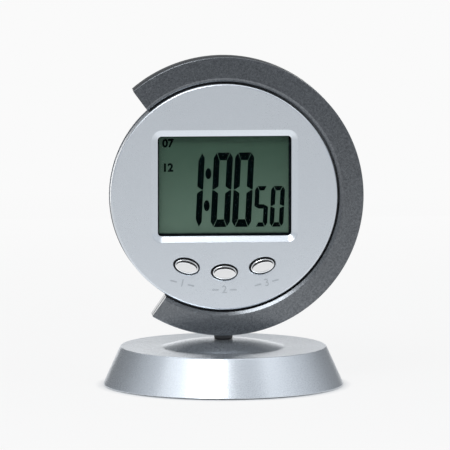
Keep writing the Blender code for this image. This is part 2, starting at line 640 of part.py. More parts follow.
def build_rear_case(head):
    slope = (REAR_FOOT_RADIUS - REAR_FLAT_RADIUS) / (RIM_BACK - REAR_BACK)
    foot_inside = REAR_FOOT_RADIUS - REAR_WALL + slope * (RIM_FRONT - RIM_BACK)
    flat_inside = REAR_FLAT_RADIUS - REAR_WALL + slope * REAR_WALL
    profile = rounded([(0, REAR_BACK, 0), (REAR_FLAT_RADIUS, REAR_BACK, REAR_EDGE_RADIUS),
                       (REAR_FOOT_RADIUS, RIM_BACK, 0), (RIM_RADIUS, RIM_BACK, 0),
                       (RIM_RADIUS, RIM_FRONT, 0), (foot_inside, RIM_FRONT, 0),
                       (flat_inside, REAR_INSIDE, REAR_EDGE_RADIUS / 2), (0, REAR_INSIDE, 0)])
    case = make_piece("rear_case", turned(profile, LARGE_STEPS), gunmetal, head)
    well = (0, -BATTERY_DROP)
    buzzer = (0, BUZZER_RISE)
    rib = BUZZER_RADIUS + SEAT_GAP
    add(case, rod(WELL_OUTER, REAR_INSIDE - OVERLAP, WELL_FRONT, MIDDLE_STEPS, well),
        turned([(rib, REAR_INSIDE - OVERLAP), (rib + BUZZER_RIB, REAR_INSIDE - OVERLAP),
                (rib + BUZZER_RIB, REAR_INSIDE + BUZZER_RIB_HEIGHT),
                (rib, REAR_INSIDE + BUZZER_RIB_HEIGHT)], MIDDLE_STEPS, centre=buzzer),
        *[rod(BOARD_POST_RADIUS, REAR_INSIDE - OVERLAP, BOARD_BACK - SEAT_GAP, SCREW_STEPS,
              polar(BOARD_PART_CIRCLE, angle)) for angle in BOARD_POST_ANGLES])
    cut(case, turned([(0, REAR_BACK - OVERLAP), (RECESS_RADIUS, REAR_BACK - OVERLAP),
                      (RECESS_RADIUS, LEDGE_BACK), (WELL_RADIUS, LEDGE_BACK),
                      (WELL_RADIUS, LEDGE_FRONT), (GROOVE_RADIUS, LEDGE_FRONT),
                      (GROOVE_RADIUS, GROOVE_FRONT), (WELL_RADIUS, GROOVE_FRONT),
                      (WELL_RADIUS, WELL_BACK), (0, WELL_BACK)], MIDDLE_STEPS, centre=well))
    half = DOOR_TAB_ANGLE / 2 + DOOR_NOTCH_ANGLE
    notch = [(WELL_RADIUS - OVERLAP, LEDGE_BACK - OVERLAP), (GROOVE_RADIUS, LEDGE_BACK - OVERLAP),
             (GROOVE_RADIUS, LEDGE_FRONT + OVERLAP), (WELL_RADIUS - OVERLAP, LEDGE_FRONT + OVERLAP)]
    cut(case, *[turned(notch, 6, DOOR_OPEN_ANGLE + side - half, 2 * half, well) for side in (0, 180)])
    holes = [buzzer] + [(polar(SOUND_HOLE_CIRCLE, 60 * n)[0],
                         BUZZER_RISE + polar(SOUND_HOLE_CIRCLE, 60 * n)[1]) for n in range(6)]
    cut(case, *[rod(SOUND_HOLE_RADIUS, REAR_BACK - OVERLAP, REAR_INSIDE + OVERLAP, 10, place)
                for place in holes])
    angles = (*LIP_SCREW_ANGLES, FREE_SCREW_ANGLE)
    places = [polar(CASE_SCREW_CIRCLE, angle) for angle in angles]
    legs = [block(CONTACT_WIDTH / 2 + 2 * SEAT_GAP, CONTACT_THICKNESS + 2 * SEAT_GAP, WELL_BACK - OVERLAP,
                  WELL_FRONT + OVERLAP, place) for place in contact_leg_places()]
    cut(case, *[rod(SCREW_BORE, RIM_BACK - OVERLAP, RIM_FRONT + OVERLAP, SCREW_STEPS, place)
                for place in places], *legs)
    for n, (angle, place) in enumerate(zip(angles, places), 1):
        seat = RIM_BACK if angle == FREE_SCREW_ANGLE else CRESCENT_BACK
        add_screw(f"case_screw_{n}", head, place, seat - SEAT_GAP, BEZEL_BACK + CASE_SCREW_REACH - SEAT_GAP)


def build_display(head):
    place = (0, WINDOW_RISE)
    lens = block(GLASS_WIDTH, GLASS_HEIGHT, LENS_FRONT - LENS_THICKNESS, LENS_FRONT, place)
    make_piece("window_lens", lens, clear_plastic, head)
    wide = rectangle(GLASS_WIDTH, GLASS_HEIGHT, place)
    short = rectangle(GLASS_WIDTH, GLASS_HEIGHT - 2 * LCD_LEDGE, place)
    make_piece("lcd_panel", stacked([(short, LCD_STEP - LCD_SHEET), (short, LCD_STEP), (wide, LCD_STEP),
                                     (wide, LCD_FRONT)]), lcd_glass, head)
    low = BOARD_FRONT + SEAT_GAP
    carrier = make_piece("lcd_carrier", block(CARRIER_WIDTH, CARRIER_HEIGHT, low, LENS_FRONT, place),
                         black_plastic, head)
    cut(carrier, block(GLASS_WIDTH + 2 * SEAT_GAP, GLASS_HEIGHT + 2 * SEAT_GAP, low - OVERLAP,
                       LENS_FRONT + OVERLAP, place))
    reach = GLASS_HEIGHT / 2 - LCD_LEDGE / 2
    for name, side in (("zebra_strip_upper", 1), ("zebra_strip_lower", -1)):
        make_piece(name, block(ZEBRA_LENGTH, ZEBRA_WIDTH, low, LCD_STEP - SEAT_GAP,
                               (0, WINDOW_RISE + side * reach)), rubber, head)


def build_electronics(head):
    board = rod(BOARD_RADIUS, BOARD_BACK, BOARD_FRONT, MIDDLE_STEPS)
    make_piece("circuit_board", board, board_green, head)
    back = BOARD_BACK - SEAT_GAP
    crown = back - CHIP_RISE
    blob = turned([(0, back), (CHIP_RADIUS, back), (0.8 * CHIP_RADIUS, back - 0.6 * CHIP_RISE),
                   (0.4 * CHIP_RADIUS, crown), (0, crown)], SMALL_STEPS)
    make_piece("chip_blob", blob, epoxy, head, (*polar(BOARD_PART_CIRCLE, CHIP_ANGLE), 0))
    crystal = laid_forward(rod(CRYSTAL_RADIUS, -CRYSTAL_LENGTH / 2, CRYSTAL_LENGTH / 2, SCREW_STEPS))
    make_piece("quartz_crystal", crystal, steel, head,
               (*polar(BOARD_PART_CIRCLE, CRYSTAL_ANGLE), back - CRYSTAL_RADIUS))
    low = REAR_INSIDE + SEAT_GAP
    make_piece("buzzer_disc", rod(BUZZER_RADIUS, low, low + BUZZER_THICKNESS, MIDDLE_STEPS),
               brass, head, (0, BUZZER_RISE, 0))
    for name, (x, y, tilt) in button_places().items():
        low = BOARD_FRONT + SEAT_GAP
        make_piece("switch_dome_" + name,
                   turned([(0, low), (SWITCH_DOME_RADIUS, low),
                           (SWITCH_DOME_RADIUS, low + 0.2 * SWITCH_DOME_HEIGHT),
                           (0.7 * SWITCH_DOME_RADIUS, low + 0.9 * SWITCH_DOME_HEIGHT),
                           (0.55 * SWITCH_DOME_RADIUS, low + SWITCH_DOME_HEIGHT),
                           (0, low + SWITCH_DOME_HEIGHT)], SMALL_STEPS), rubber, head, (x, y, 0))


def build_buttons(head):
    flange_front = FACE_BACK - SEAT_GAP
    flange_back = flange_front - BUTTON_FLANGE_THICKNESS
    stem_end = BOARD_FRONT + SEAT_GAP + SWITCH_DOME_HEIGHT + SEAT_GAP
    rim = FACE_FRONT + BUTTON_STAND
    cap = rim + BUTTON_CAP

    def ring(grow, height):
        return (ellipse(BUTTON_HALF_LENGTH + grow, BUTTON_HALF_HEIGHT + grow, BUTTON_STEPS), height)

    stem = ellipse(BUTTON_STEM_RADIUS, BUTTON_STEM_RADIUS, BUTTON_STEPS)
    for name, (x, y, tilt) in button_places().items():
        shape = stacked([(stem, stem_end), (stem, flange_back), ring(BUTTON_FLANGE, flange_back),
                         ring(BUTTON_FLANGE, flange_front), ring(0, flange_front),
                         ring(0, rim), ring(-BUTTON_RIM, rim), ring(-BUTTON_RIM, cap - BUTTON_EDGE),
                         ring(-BUTTON_RIM - BUTTON_EDGE, cap)])
        make_piece("button_" + name, shape, chrome, head, (x, y, 0), math.radians(tilt))


def contact_leg_places():
    """Where the legs of the positive and the negative contact pass the floor of the battery well."""
    rim = CELL_RADIUS + SEAT_GAP + CONTACT_THICKNESS / 2
    return ((0, rim - BATTERY_DROP), (0, -BATTERY_DROP - CELL_RADIUS / 2))


def build_battery(head):
    place = (0, -BATTERY_DROP, 0)
    cell = rod(CELL_RADIUS, CELL_BACK, CELL_FRONT, MIDDLE_STEPS)
    make_piece("coin_cell", cell, bright_steel, head, place)
    positive, negative = contact_leg_places()
    leg_end = BOARD_BACK - SEAT_GAP
    blade = block(CONTACT_WIDTH, CONTACT_THICKNESS, TAB_FRONT + SEAT_GAP, CONTACT_FRONT, positive)
    spring = make_piece("positive_contact", blade, bright_steel, head)
    add(spring, block(CONTACT_WIDTH / 2, CONTACT_THICKNESS, CONTACT_FRONT - OVERLAP, leg_end, positive))
    strip = block(CONTACT_WIDTH, CELL_RADIUS + CONTACT_THICKNESS, CONTACT_FRONT - CONTACT_THICKNESS,
                  CONTACT_FRONT, (0, -BATTERY_DROP))
    leaf = make_piece("negative_contact", strip, bright_steel, head)
    add(leaf, block(CONTACT_WIDTH / 2, CONTACT_THICKNESS, CONTACT_FRONT - CONTACT_THICKNESS / 2, leg_end,
                    negative))

    door = make_piece("battery_door", turned([(0, REAR_BACK), (DOOR_RADIUS, REAR_BACK),
                                              (DOOR_RADIUS, DOOR_INSIDE), (SKIRT_OUTER, DOOR_INSIDE),
                                              (SKIRT_OUTER, TAB_FRONT), (SKIRT_INNER, TAB_FRONT),
                                              (SKIRT_INNER, DOOR_INSIDE), (0, DOOR_INSIDE)], MIDDLE_STEPS),
                      gunmetal, head, place)
    tab = [(SKIRT_OUTER - DOOR_SKIRT_WALL / 2, TAB_BACK), (TAB_RADIUS, TAB_BACK), (TAB_RADIUS, TAB_FRONT),
           (SKIRT_OUTER - DOOR_SKIRT_WALL / 2, TAB_FRONT)]
    add(door, *[turned(tab, 6, side - DOOR_TAB_ANGLE / 2, DOOR_TAB_ANGLE) for side in (0, 180)])
    cut(door, block(DOOR_SLOT_LENGTH, DOOR_SLOT_WIDTH, REAR_BACK - OVERLAP, REAR_BACK + DOOR_SLOT_DEPTH))


clear_scene()
silver = make_finish("silver_paint", (0.62, 0.63, 0.65), 0.38, 0.6)
gunmetal = make_finish("gunmetal_paint", (0.10, 0.11, 0.12), 0.4, 0.6)
dark_metal = make_finish("dark_neck", (0.02, 0.02, 0.02), 0.35)
chrome = make_finish("chrome_plate", (0.85, 0.85, 0.86), 0.08, 1.0)
steel = make_finish("zinc_steel", (0.55, 0.56, 0.57), 0.35, 1.0)
bright_steel = make_finish("bright_steel", (0.75, 0.75, 0.74), 0.2, 1.0)
brass = make_finish("buzzer_brass", (0.70, 0.52, 0.22), 0.3, 1.0)
black_plastic = make_finish("black_plastic", (0.02, 0.02, 0.02), 0.5)
foam = make_finish("black_foam", (0.015, 0.015, 0.015), 0.9)
rubber = make_finish("grey_rubber", (0.10, 0.10, 0.10), 0.8)
epoxy = make_finish("black_epoxy", (0.01, 0.01, 0.01), 0.3)
board_green = make_finish("circuit_board", (0.03, 0.16, 0.06), 0.5)
clear_plastic = make_finish("clear_acrylic", (0.90, 0.92, 0.92), 0.05)
lcd_glass = make_finish("lcd_glass", (0.16, 0.19, 0.17), 0.2)

stand_frame = make_frame("stand_frame")
swivel_frame = make_frame("swivel_frame", stand_frame)
head_frame = make_frame("head_frame", swivel_frame, (0, 0, HEAD_HEIGHT), (math.radians(90), 0, 0))
build_base(stand_frame)
build_swivel(stand_frame, swivel_frame)
build_crescent(head_frame)
build_bezel(head_frame)
build_rear_case(head_frame)
build_display(head_frame)
build_electronics(head_frame)
build_buttons(head_frame)
build_battery(head_frame)
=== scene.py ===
from math import cos, degrees, radians, sin, tan, tau

import bmesh
import bpy
from mathutils import Matrix, Vector


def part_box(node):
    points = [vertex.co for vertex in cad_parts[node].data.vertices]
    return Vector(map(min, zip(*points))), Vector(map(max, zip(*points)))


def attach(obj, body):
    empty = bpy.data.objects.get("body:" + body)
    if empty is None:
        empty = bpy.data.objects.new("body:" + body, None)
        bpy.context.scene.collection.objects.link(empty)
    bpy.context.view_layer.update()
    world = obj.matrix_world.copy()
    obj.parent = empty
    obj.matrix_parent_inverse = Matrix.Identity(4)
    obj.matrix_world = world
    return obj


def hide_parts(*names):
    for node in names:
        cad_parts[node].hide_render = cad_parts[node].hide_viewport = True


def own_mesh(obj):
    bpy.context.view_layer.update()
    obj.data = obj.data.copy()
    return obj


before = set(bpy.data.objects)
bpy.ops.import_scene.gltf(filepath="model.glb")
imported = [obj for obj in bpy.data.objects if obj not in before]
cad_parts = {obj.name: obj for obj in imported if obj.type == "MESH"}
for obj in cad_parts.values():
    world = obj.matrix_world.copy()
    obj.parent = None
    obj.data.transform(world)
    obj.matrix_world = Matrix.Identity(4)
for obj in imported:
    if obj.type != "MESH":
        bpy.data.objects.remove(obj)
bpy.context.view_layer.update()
scene = bpy.context.scene
mm = 0.001
print("frame loaded:", len(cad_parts), "nodes")


# sizes given in millimetres, as a dictionary in metres
def lengths(**sizes):
    def inMetres(size):
        return tuple(inMetres(each) for each in size) if isinstance(size, tuple) else size * mm

    return {name: inMetres(size) for name, size in sizes.items()}


# tiny: closer than this counts as the same place; overcut: how far a cutting tool passes what it cuts
tiny = 0.001 * mm
weldDistance = 0.0005 * mm
overcut = 1.0 * mm


# stands flat work up at a point: x stays to the right, y turns up and z comes out of the front
def standUp(x, y, z):
    return Matrix.Translation((x, y, z)) @ Matrix.Rotation(radians(90), 4, "X")


# the clock's head is drawn flat, then stood up on the swivel axis
bezelLow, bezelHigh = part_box("front_bezel")
headHeight = (bezelLow.z + bezelHigh.z) / 2
caseRadius = (bezelHigh.x - bezelLow.x) / 2
faceFront = -bezelLow.y
bezelBack = -bezelHigh.y
headPlace = standUp(0, 0, headHeight)


class Value:
    # one output socket that can be used in sums

    def __init__(self, board, socket):
        self.board, self.socket = board, socket

    def __add__(self, other):
        return self.board.sum("ADD", self, other)

    def __radd__(self, other):
        return self.board.sum("ADD", other, self)

    def __sub__(self, other):
        return self.board.sum("SUBTRACT", self, other)

    def __rsub__(self, other):
        return self.board.sum("SUBTRACT", other, self)

    def __mul__(self, other):
        return self.board.sum("MULTIPLY", self, other)

    def __rmul__(self, other):
        return self.board.sum("MULTIPLY", other, self)

    # a share of this value and the rest of another
    def blend(self, other, share):
        return self * share + other * (1 - share)

    # a value from 0 to 1 as a swing of this size about nought
    def swing(self, size):
        return (self - 0.5) * size


class Board:
    # the node board of one finish, the floor or the world

    def __init__(self, tree):
        self.tree = tree
        tree.nodes.clear()

    def node(self, kind, settings, sockets, output=0):
        made = self.tree.nodes.new(kind)
        for name, value in settings.items():
            if name == "stops":
                ramp = made.color_ramp
                while len(ramp.elements) < len(value):
                    ramp.elements.new(0.5)
                for stop, (position, level) in zip(ramp.elements, value):
                    stop.position = position
                    stop.color = (level, level, level, 1)
            else:
                setattr(made, name, value)
        for name, value in sockets.items():
            if isinstance(value, Value):
                self.tree.links.new(value.socket, made.inputs[name])
            else:
                made.inputs[name].default_value = value
        return Value(self, made.outputs[output]) if made.outputs else made

    def sum(self, operation, first, second):
        return self.node("ShaderNodeMath", {"operation": operation}, {0: first, 1: second})

    def vector(self, operation, *terms, output="Vector"):
        return self.node("ShaderNodeVectorMath", {"operation": operation}, dict(enumerate(terms)), output)

    def objectPoint(self):
        return self.node("ShaderNodeTexCoord", {}, {}, "Object")

    def part(self, vector, axis):
        return self.node("ShaderNodeSeparateXYZ", {}, {"Vector": vector}, axis)

    def ray(self, kind):
        return self.node("ShaderNodeLightPath", {}, {}, f"Is {kind} Ray")

    def noise(self, scale, detail=2.0, point=None):
        return self.node("ShaderNodeTexNoise", {}, {
            "Vector": point or self.objectPoint(), "Scale": scale, "Detail": detail})

    def ramp(self, value, stops):
        return self.node("ShaderNodeValToRGB", {"stops": stops}, {"Fac": value})

    def smoothStep(self, value, start, end):
        return self.node("ShaderNodeMapRange", {"interpolation_type": "SMOOTHSTEP"}, {
            "Value": value, "From Min": start, "From Max": end})

    # sockets 6 and 7 of a mix node are its two colours, and output 2 is the mixed one
    def tint(self, share, first, second):
        return self.node("ShaderNodeMix", {"data_type": "RGBA"}, {
            0: share, 6: (*first, 1), 7: second if isinstance(second, Value) else (*second, 1)}, 2)

    def bump(self, height, plan):
        return self.node("ShaderNodeBump", {}, {
            "Strength": plan["bump"], "Distance": plan["depth"], "Height": height})

    def mixShader(self, share, first, second):
        return self.node("ShaderNodeMixShader", {}, {0: share, 1: first, 2: second})

    def background(self, colour, strength):
        return self.node("ShaderNodeBackground", {}, {"Color": colour, "Strength": strength})

    def surface(self, shader):
        self.node("ShaderNodeOutputMaterial", {}, {"Surface": shader})

    def principled(self, sockets):
        self.surface(self.node("ShaderNodeBsdfPrincipled", {}, sockets))


def newFinish(name):
    material = bpy.data.materials.new(name)
    material.use_nodes = True
    return material, Board(material.node_tree)


# what all metallic paints share
paintPlan = {
    "fineScale": 3.1, "coarseShare": 0.6, "contrast": [(0.34, 0.0), (0.66, 1.0)], "cloudScale": 38.0,
    "cloudRough": 0.08, "flakeRough": 0.06, "peelScale": 620.0, "peelHeight": 0.35, "coatRoughness": 0.25,
    "depth": 0.02 * mm}


# satin metallic paint: bright and dark flakes, a little orange peel, and a gloss that wanders
def metallicPaint(name, ownPlan):
    plan = {**paintPlan, **ownPlan}
    material, board = newFinish(name)
    flake = board.noise(plan["flakeScale"], detail=3.0)
    fine = board.noise(plan["flakeScale"] * plan["fineScale"], detail=1.0)
    sparkle = board.ramp(flake.blend(fine, plan["coarseShare"]), plan["contrast"])
    cloud = board.noise(plan["cloudScale"])
    peel = board.noise(plan["peelScale"], detail=1.0)
    height = sparkle * plan["flakeHeight"] + peel * plan["peelHeight"]
    board.principled({
        "Base Color": board.tint(sparkle, plan["dark"], plan["light"]),
        "Metallic": plan["metallic"],
        "Roughness": (plan["roughness"] + cloud.swing(plan["cloudRough"])
                      + sparkle.swing(plan["flakeRough"])),
        "Coat Weight": plan["coat"],
        "Coat Roughness": plan["coatRoughness"],
        "Normal": board.bump(height, plan)})
    return material


metalPlan = {"smudgeScale": 210.0, "smudgeRough": 0.06, "depth": 0.01 * mm}


# plated or rolled metal: smudges, and a fine grain, drawn into streaks where its scales differ
def streakedMetal(name, ownPlan):
    plan = {**metalPlan, **ownPlan}
    material, board = newFinish(name)
    point = board.node("ShaderNodeMapping", {}, {"Vector": board.objectPoint(), "Scale": plan["streak"]})
    streak = board.noise(1.0, 3.0, point)
    smudge = board.noise(plan["smudgeScale"], detail=3.0)
    board.principled({
        "Base Color": board.tint(smudge, plan["dark"], plan["light"]),
        "Metallic": 1.0,
        "Roughness": (plan["roughness"] + streak.swing(plan["streakRough"])
                      + smudge.swing(plan["smudgeRough"])),
        "Normal": board.bump(streak, plan)})
    return material


mouldPlan = {"toneScale": 70.0, "toneShare": 0.6, "grainRough": 0.15, "specular": 0.5}


# moulded plastic, rubber, foam and ink: a close grain and a slow change of tone
def mouldedFinish(name, ownPlan):
    plan = {**mouldPlan, **ownPlan}
    material, board = newFinish(name)
    grain = board.noise(plan["grainScale"], detail=3.0)
    tone = board.noise(plan["toneScale"])
    board.principled({
        "Base Color": board.tint(tone.blend(grain, plan["toneShare"]), plan["dark"], plan["light"]),
        "Roughness": plan["roughness"] + grain.swing(plan["grainRough"]),
        "Specular IOR Level": plan["specular"],
        "Normal": board.bump(grain, plan)})
    return material


silverPlan = {
    "dark": (0.625, 0.67, 0.72), "light": (0.695, 0.74, 0.79), "metallic": 0.9, "roughness": 0.3,
    "coat": 0.2, "flakeScale": 3600.0, "flakeHeight": 0.5, "bump": 0.04}
silverPaint = metallicPaint("silverPaint", silverPlan)
basePaint = metallicPaint("basePaint", {**silverPlan, "roughness": 0.28, "bump": 0.07})
labelPaint = metallicPaint("labelPaint", {
    **silverPlan, "dark": (0.45, 0.49, 0.53), "light": (0.51, 0.55, 0.59)})
gunmetalPaint = metallicPaint("gunmetalPaint", {
    "dark": (0.082, 0.089, 0.098), "light": (0.184, 0.197, 0.212), "metallic": 0.85, "roughness": 0.22,
    "coat": 0.0, "flakeScale": 1700.0, "flakeHeight": 0.8, "bump": 0.02})
chromePlate = streakedMetal("chromePlate", {
    "dark": (0.80, 0.81, 0.82), "light": (0.90, 0.905, 0.91), "roughness": 0.06,
    "streak": (900, 900, 900), "streakRough": 0.03, "bump": 0.01})
zincSteel = streakedMetal("zincSteel", {
    "dark": (0.42, 0.43, 0.44), "light": (0.62, 0.63, 0.64), "roughness": 0.32,
    "streak": (2600, 2600, 2600), "streakRough": 0.2, "bump": 0.12})
brightSteel = streakedMetal("brightSteel", {
    "dark": (0.62, 0.62, 0.60), "light": (0.76, 0.76, 0.74), "roughness": 0.22,
    "streak": (300, 300, 4200), "streakRough": 0.2, "bump": 0.06})
buzzerBrass = streakedMetal("buzzerBrass", {
    "dark": (0.55, 0.38, 0.13), "light": (0.76, 0.57, 0.26), "roughness": 0.28,
    "streak": (400, 400, 3000), "streakRough": 0.2, "bump": 0.06})
satinNeck = mouldedFinish("satinNeck", {
    "dark": (0.008, 0.0095, 0.011), "light": (0.017, 0.02, 0.023), "roughness": 0.34,
    "grainScale": 1800.0, "depth": 0.02 * mm, "bump": 0.12})
blackPlastic = mouldedFinish("blackPlastic", {
    "dark": (0.014, 0.014, 0.015), "light": (0.03, 0.03, 0.031), "roughness": 0.5,
    "grainScale": 2400.0, "depth": 0.03 * mm, "bump": 0.25})
blackFoam = mouldedFinish("blackFoam", {
    "dark": (0.008, 0.008, 0.008), "light": (0.028, 0.028, 0.028), "roughness": 0.92,
    "grainScale": 1700.0, "depth": 0.12 * mm, "bump": 0.6})
greyRubber = mouldedFinish("greyRubber", {
    "dark": (0.07, 0.07, 0.072), "light": (0.12, 0.12, 0.122), "roughness": 0.68,
    "grainScale": 1400.0, "depth": 0.03 * mm, "bump": 0.3})
blackEpoxy = mouldedFinish("blackEpoxy", {
    "dark": (0.007, 0.007, 0.008), "light": (0.016, 0.016, 0.017), "roughness": 0.22,
    "grainScale": 500.0, "depth": 0.05 * mm, "bump": 0.2})
segmentInk = mouldedFinish("segmentInk", {
    "dark": (0.0003, 0.002, 0.0022), "light": (0.0007, 0.0036, 0.0038), "roughness": 0.55,
    "grainScale": 3000.0, "depth": 0.005 * mm, "bump": 0.03, "specular": 0.0})

maskPlan = {
    "dark": (0.016, 0.10, 0.038), "light": (0.05, 0.21, 0.085), "roughness": 0.30, "grainRough": 0.2,
    "grainScale": 900.0, "grainHeight": 0.2, "trackShare": 0.7, "trackScale": 160.0, "trackGap": 0.09,
    "trackBlur": 0.2, "bump": 0.3, "depth": 0.04 * mm}


# solder mask with copper tracks showing faintly through it
def boardGreen():
    plan = maskPlan
    material, board = newFinish("boardGreen")
    point = board.node("ShaderNodeMapping", {}, {
        "Vector": board.objectPoint(), "Rotation": (radians(90), 0, 0)})
    tracks = board.node("ShaderNodeTexBrick", {}, {
        "Vector": point, "Scale": plan["trackScale"], "Mortar Size": plan["trackGap"],
        "Mortar Smooth": plan["trackBlur"]}, 1)
    grain = board.noise(plan["grainScale"])
    height = tracks + grain * plan["grainHeight"]
    board.principled({
        "Base Color": board.tint(tracks.blend(grain, plan["trackShare"]), plan["dark"], plan["light"]),
        "Roughness": plan["roughness"] + grain * plan["grainRough"],
        "Normal": board.bump(height, plan)})
    return material


lensPlan = {
    "tint": (0.02, 0.025, 0.025, 1), "roughness": 0.05, "alpha": 0.012, "hazeScale": 260.0,
    "hazeRough": 0.04, "hazeAlpha": 0.008}


# thin clear sheet: shows what lies behind and keeps a faint gloss
def clearAcrylic():
    plan = lensPlan
    material, board = newFinish("clearAcrylic")
    haze = board.noise(plan["hazeScale"])
    board.principled({
        "Base Color": plan["tint"],
        "Roughness": plan["roughness"] + haze * plan["hazeRough"],
        "Alpha": plan["alpha"] + haze * plan["hazeAlpha"]})
    return material


# the dark border: where the dark band along each edge of the glass ends and where the glass is fully clear,
# from the head's centre; along the top this band is painted shade
displayPlan = {
    # top and bottom: the glass's colour at its top and at its bottom, the top darker by a painted shadow
    "top": (0.046, 0.088, 0.062), "bottom": (0.116, 0.184, 0.139), "borderTint": (0.002, 0.004, 0.007),
    "darkBorder": lengths(left=(-21.75, -21.35), right=(21.85, 21.45), lower=(-12.66, -12.0), upper=(20.6, 19.4)),
    "roughness": 0.38, "specular": 0.06, "dotScale": 2800.0, "dotRough": 0.1, "shadowShare": 0.94,
    "bump": 0.05, "depth": 0.01 * mm}


# display glass: grey green, with the close dots of its polariser; its darkening towards the top is a
# painted shadow of the window's bevel
def displayGlass():
    plan = displayPlan
    material, board = newFinish("displayGlass")
    low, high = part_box("lcd_panel")
    across = board.part(board.objectPoint(), "X")
    height = board.part(board.objectPoint(), "Z")
    # painted shadow: the glass runs from its bottom colour up to its darker top colour
    rise = board.smoothStep(height, low.z, high.z)
    dots = board.noise(plan["dotScale"], detail=1.0)
    glass = board.tint(rise.blend(dots, plan["shadowShare"]), plan["bottom"], plan["top"])
    clear = 1.0
    # a dark band along each edge of the glass, painted shade along its top
    for side, (dark, bright) in plan["darkBorder"].items():
        place = height - headHeight if side in ("lower", "upper") else across
        clear = clear * board.smoothStep(place, dark, bright)
    board.principled({
        "Base Color": board.tint(clear, plan["borderTint"], glass),
        "Roughness": plan["roughness"] + dots * plan["dotRough"],
        "Specular IOR Level": plan["specular"],
        "Normal": board.bump(dots, plan)})
    return material


solderMask = boardGreen()
clearSheet = clearAcrylic()
displaySheet = displayGlass()
print("finishes made")


def faceOut(bm):
    bmesh.ops.recalc_face_normals(bm, faces=bm.faces[:])


# a mesh object from a bmesh, moved to its place
def rawObject(name, bm, place=None):
    if place:
        bmesh.ops.transform(bm, matrix=place, verts=bm.verts[:])
    bmesh.ops.remove_doubles(bm, verts=bm.verts[:], dist=weldDistance)
    faceOut(bm)
    mesh = bpy.data.meshes.new(name)
    bm.to_mesh(mesh)
    bm.free()
    piece = bpy.data.objects.new(name, mesh)
    scene.collection.objects.link(piece)
    return piece


def evaluatedMesh(item):
    bpy.context.view_layer.update()
    return bpy.data.meshes.new_from_object(item.evaluated_get(bpy.context.evaluated_depsgraph_get()))


# joins tools that stand clear of each other to a piece, or takes them out of it
def combine(piece, operation, tools):
    gathered = bmesh.new()
    for bm, place in tools:
        shape = rawObject("shape", bm, place)
        gathered.from_mesh(shape.data)
        bpy.data.meshes.remove(shape.data)
    tool = rawObject("tool", gathered)
    work = piece.modifiers.new("work", "BOOLEAN")
    work.operation = operation
    work.solver = "EXACT"
    work.object = tool
    worked = evaluatedMesh(piece)
    piece.modifiers.clear()
    spare = piece.data
    piece.data = worked
    bpy.data.meshes.remove(spare)
    bpy.data.meshes.remove(tool.data)


# joins flat faces that lie in one plane, so that their shading stays even
def joinFlats(piece, flatAngle=0.2):
    bm = bmesh.new()
    bm.from_mesh(piece.data)
    bmesh.ops.dissolve_limit(bm, angle_limit=radians(flatAngle), verts=bm.verts[:], edges=bm.edges[:])
    bm.to_mesh(piece.data)
    bm.free()


# smooth faces, crisp edges, the finish, and the body that it rides on
def dress(piece, finish, nodes=(), body="head", sharpAngle=33):
    bm = bmesh.new()
    bm.from_mesh(piece.data)
    bmesh.ops.remove_doubles(bm, verts=bm.verts[:], dist=weldDistance)
    faceOut(bm)
    for face in bm.faces:
        face.smooth = True
        face.material_index = 0
    for edge in bm.edges:
        edge.smooth = edge.is_manifold and edge.calc_face_angle() < radians(sharpAngle)
    loose = sum(not edge.is_manifold for edge in bm.edges)
    bm.to_mesh(piece.data)
    bm.free()
    piece.data.materials.clear()
    piece.data.materials.append(finish)
    even = piece.modifiers.new("even", "WEIGHTED_NORMAL")
    even.keep_sharp = True
    even.weight = 100
    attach(piece, body)
    if nodes:
        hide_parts(*nodes)
    print("piece", piece.name, len(piece.data.polygons), "faces", loose, "open edges")


def roundCorners(bm, verts, offset, segments):
    return bmesh.ops.bevel(bm, geom=verts, offset=offset, offset_type="OFFSET", segments=segments,
                           profile=0.5, affect="VERTICES", material=-1)


def roundEdges(bm, edges, offset, segments):
    return bmesh.ops.bevel(bm, geom=edges, offset=offset, offset_type="OFFSET", segments=segments,
                           profile=0.5, affect="EDGES", material=-1, clamp_overlap=True)


# turns a closed outline of (radius, height, rounding) corners about the upright axis
def turnedShape(corners, steps, roundSteps=5, sweep=tau):
    bm = bmesh.new()
    verts = [bm.verts.new((radius, 0, height)) for radius, height, rounding in corners]
    bm.faces.new(verts)
    for vert, (radius, height, rounding) in zip(verts, corners):
        if rounding:
            roundCorners(bm, [vert], rounding, roundSteps)
    if sweep == tau:
        bmesh.ops.delete(bm, geom=bm.faces[:], context="FACES_ONLY")
        onAxis = [edge for edge in bm.edges if all(abs(vert.co.x) < tiny for vert in edge.verts)]
        bmesh.ops.delete(bm, geom=onAxis, context="EDGES")
    bmesh.ops.spin(bm, geom=bm.verts[:] + bm.edges[:] + bm.faces[:], cent=(0, 0, 0), axis=(0, 0, 1),
                   angle=sweep, steps=steps, use_merge=sweep == tau)
    return bm


def addBox(bm, size, centre=(0, 0, 0), turn=0):
    turned = Matrix.Translation(centre) @ Matrix.Rotation(radians(turn), 4, "Z")
    bmesh.ops.create_cube(bm, size=1.0, matrix=turned @ Matrix.Diagonal((*size, 1)))


def circleLoop(bm, radius, depth, squeeze=1.0, steps=96):
    place = Matrix.Translation((0, 0, depth)) @ Matrix.Diagonal((1, squeeze, 1, 1))
    made = bmesh.ops.create_circle(bm, cap_ends=False, segments=steps, radius=radius, matrix=place)
    return list({edge for vert in made["verts"] for edge in vert.link_edges})


def boxLoop(bm, width, height, corner, depth, cornerSteps=8):
    place = Matrix.Translation((0, 0, depth)) @ Matrix.Diagonal((width, height, 1, 1))
    made = bmesh.ops.create_grid(bm, x_segments=1, y_segments=1, size=0.5, matrix=place)
    rounded = roundCorners(bm, made["verts"], corner, cornerSteps)
    face = rounded["verts"][0].link_faces[0]
    edges = face.edges[:]
    bmesh.ops.delete(bm, geom=[face], context="FACES_ONLY")
    return edges


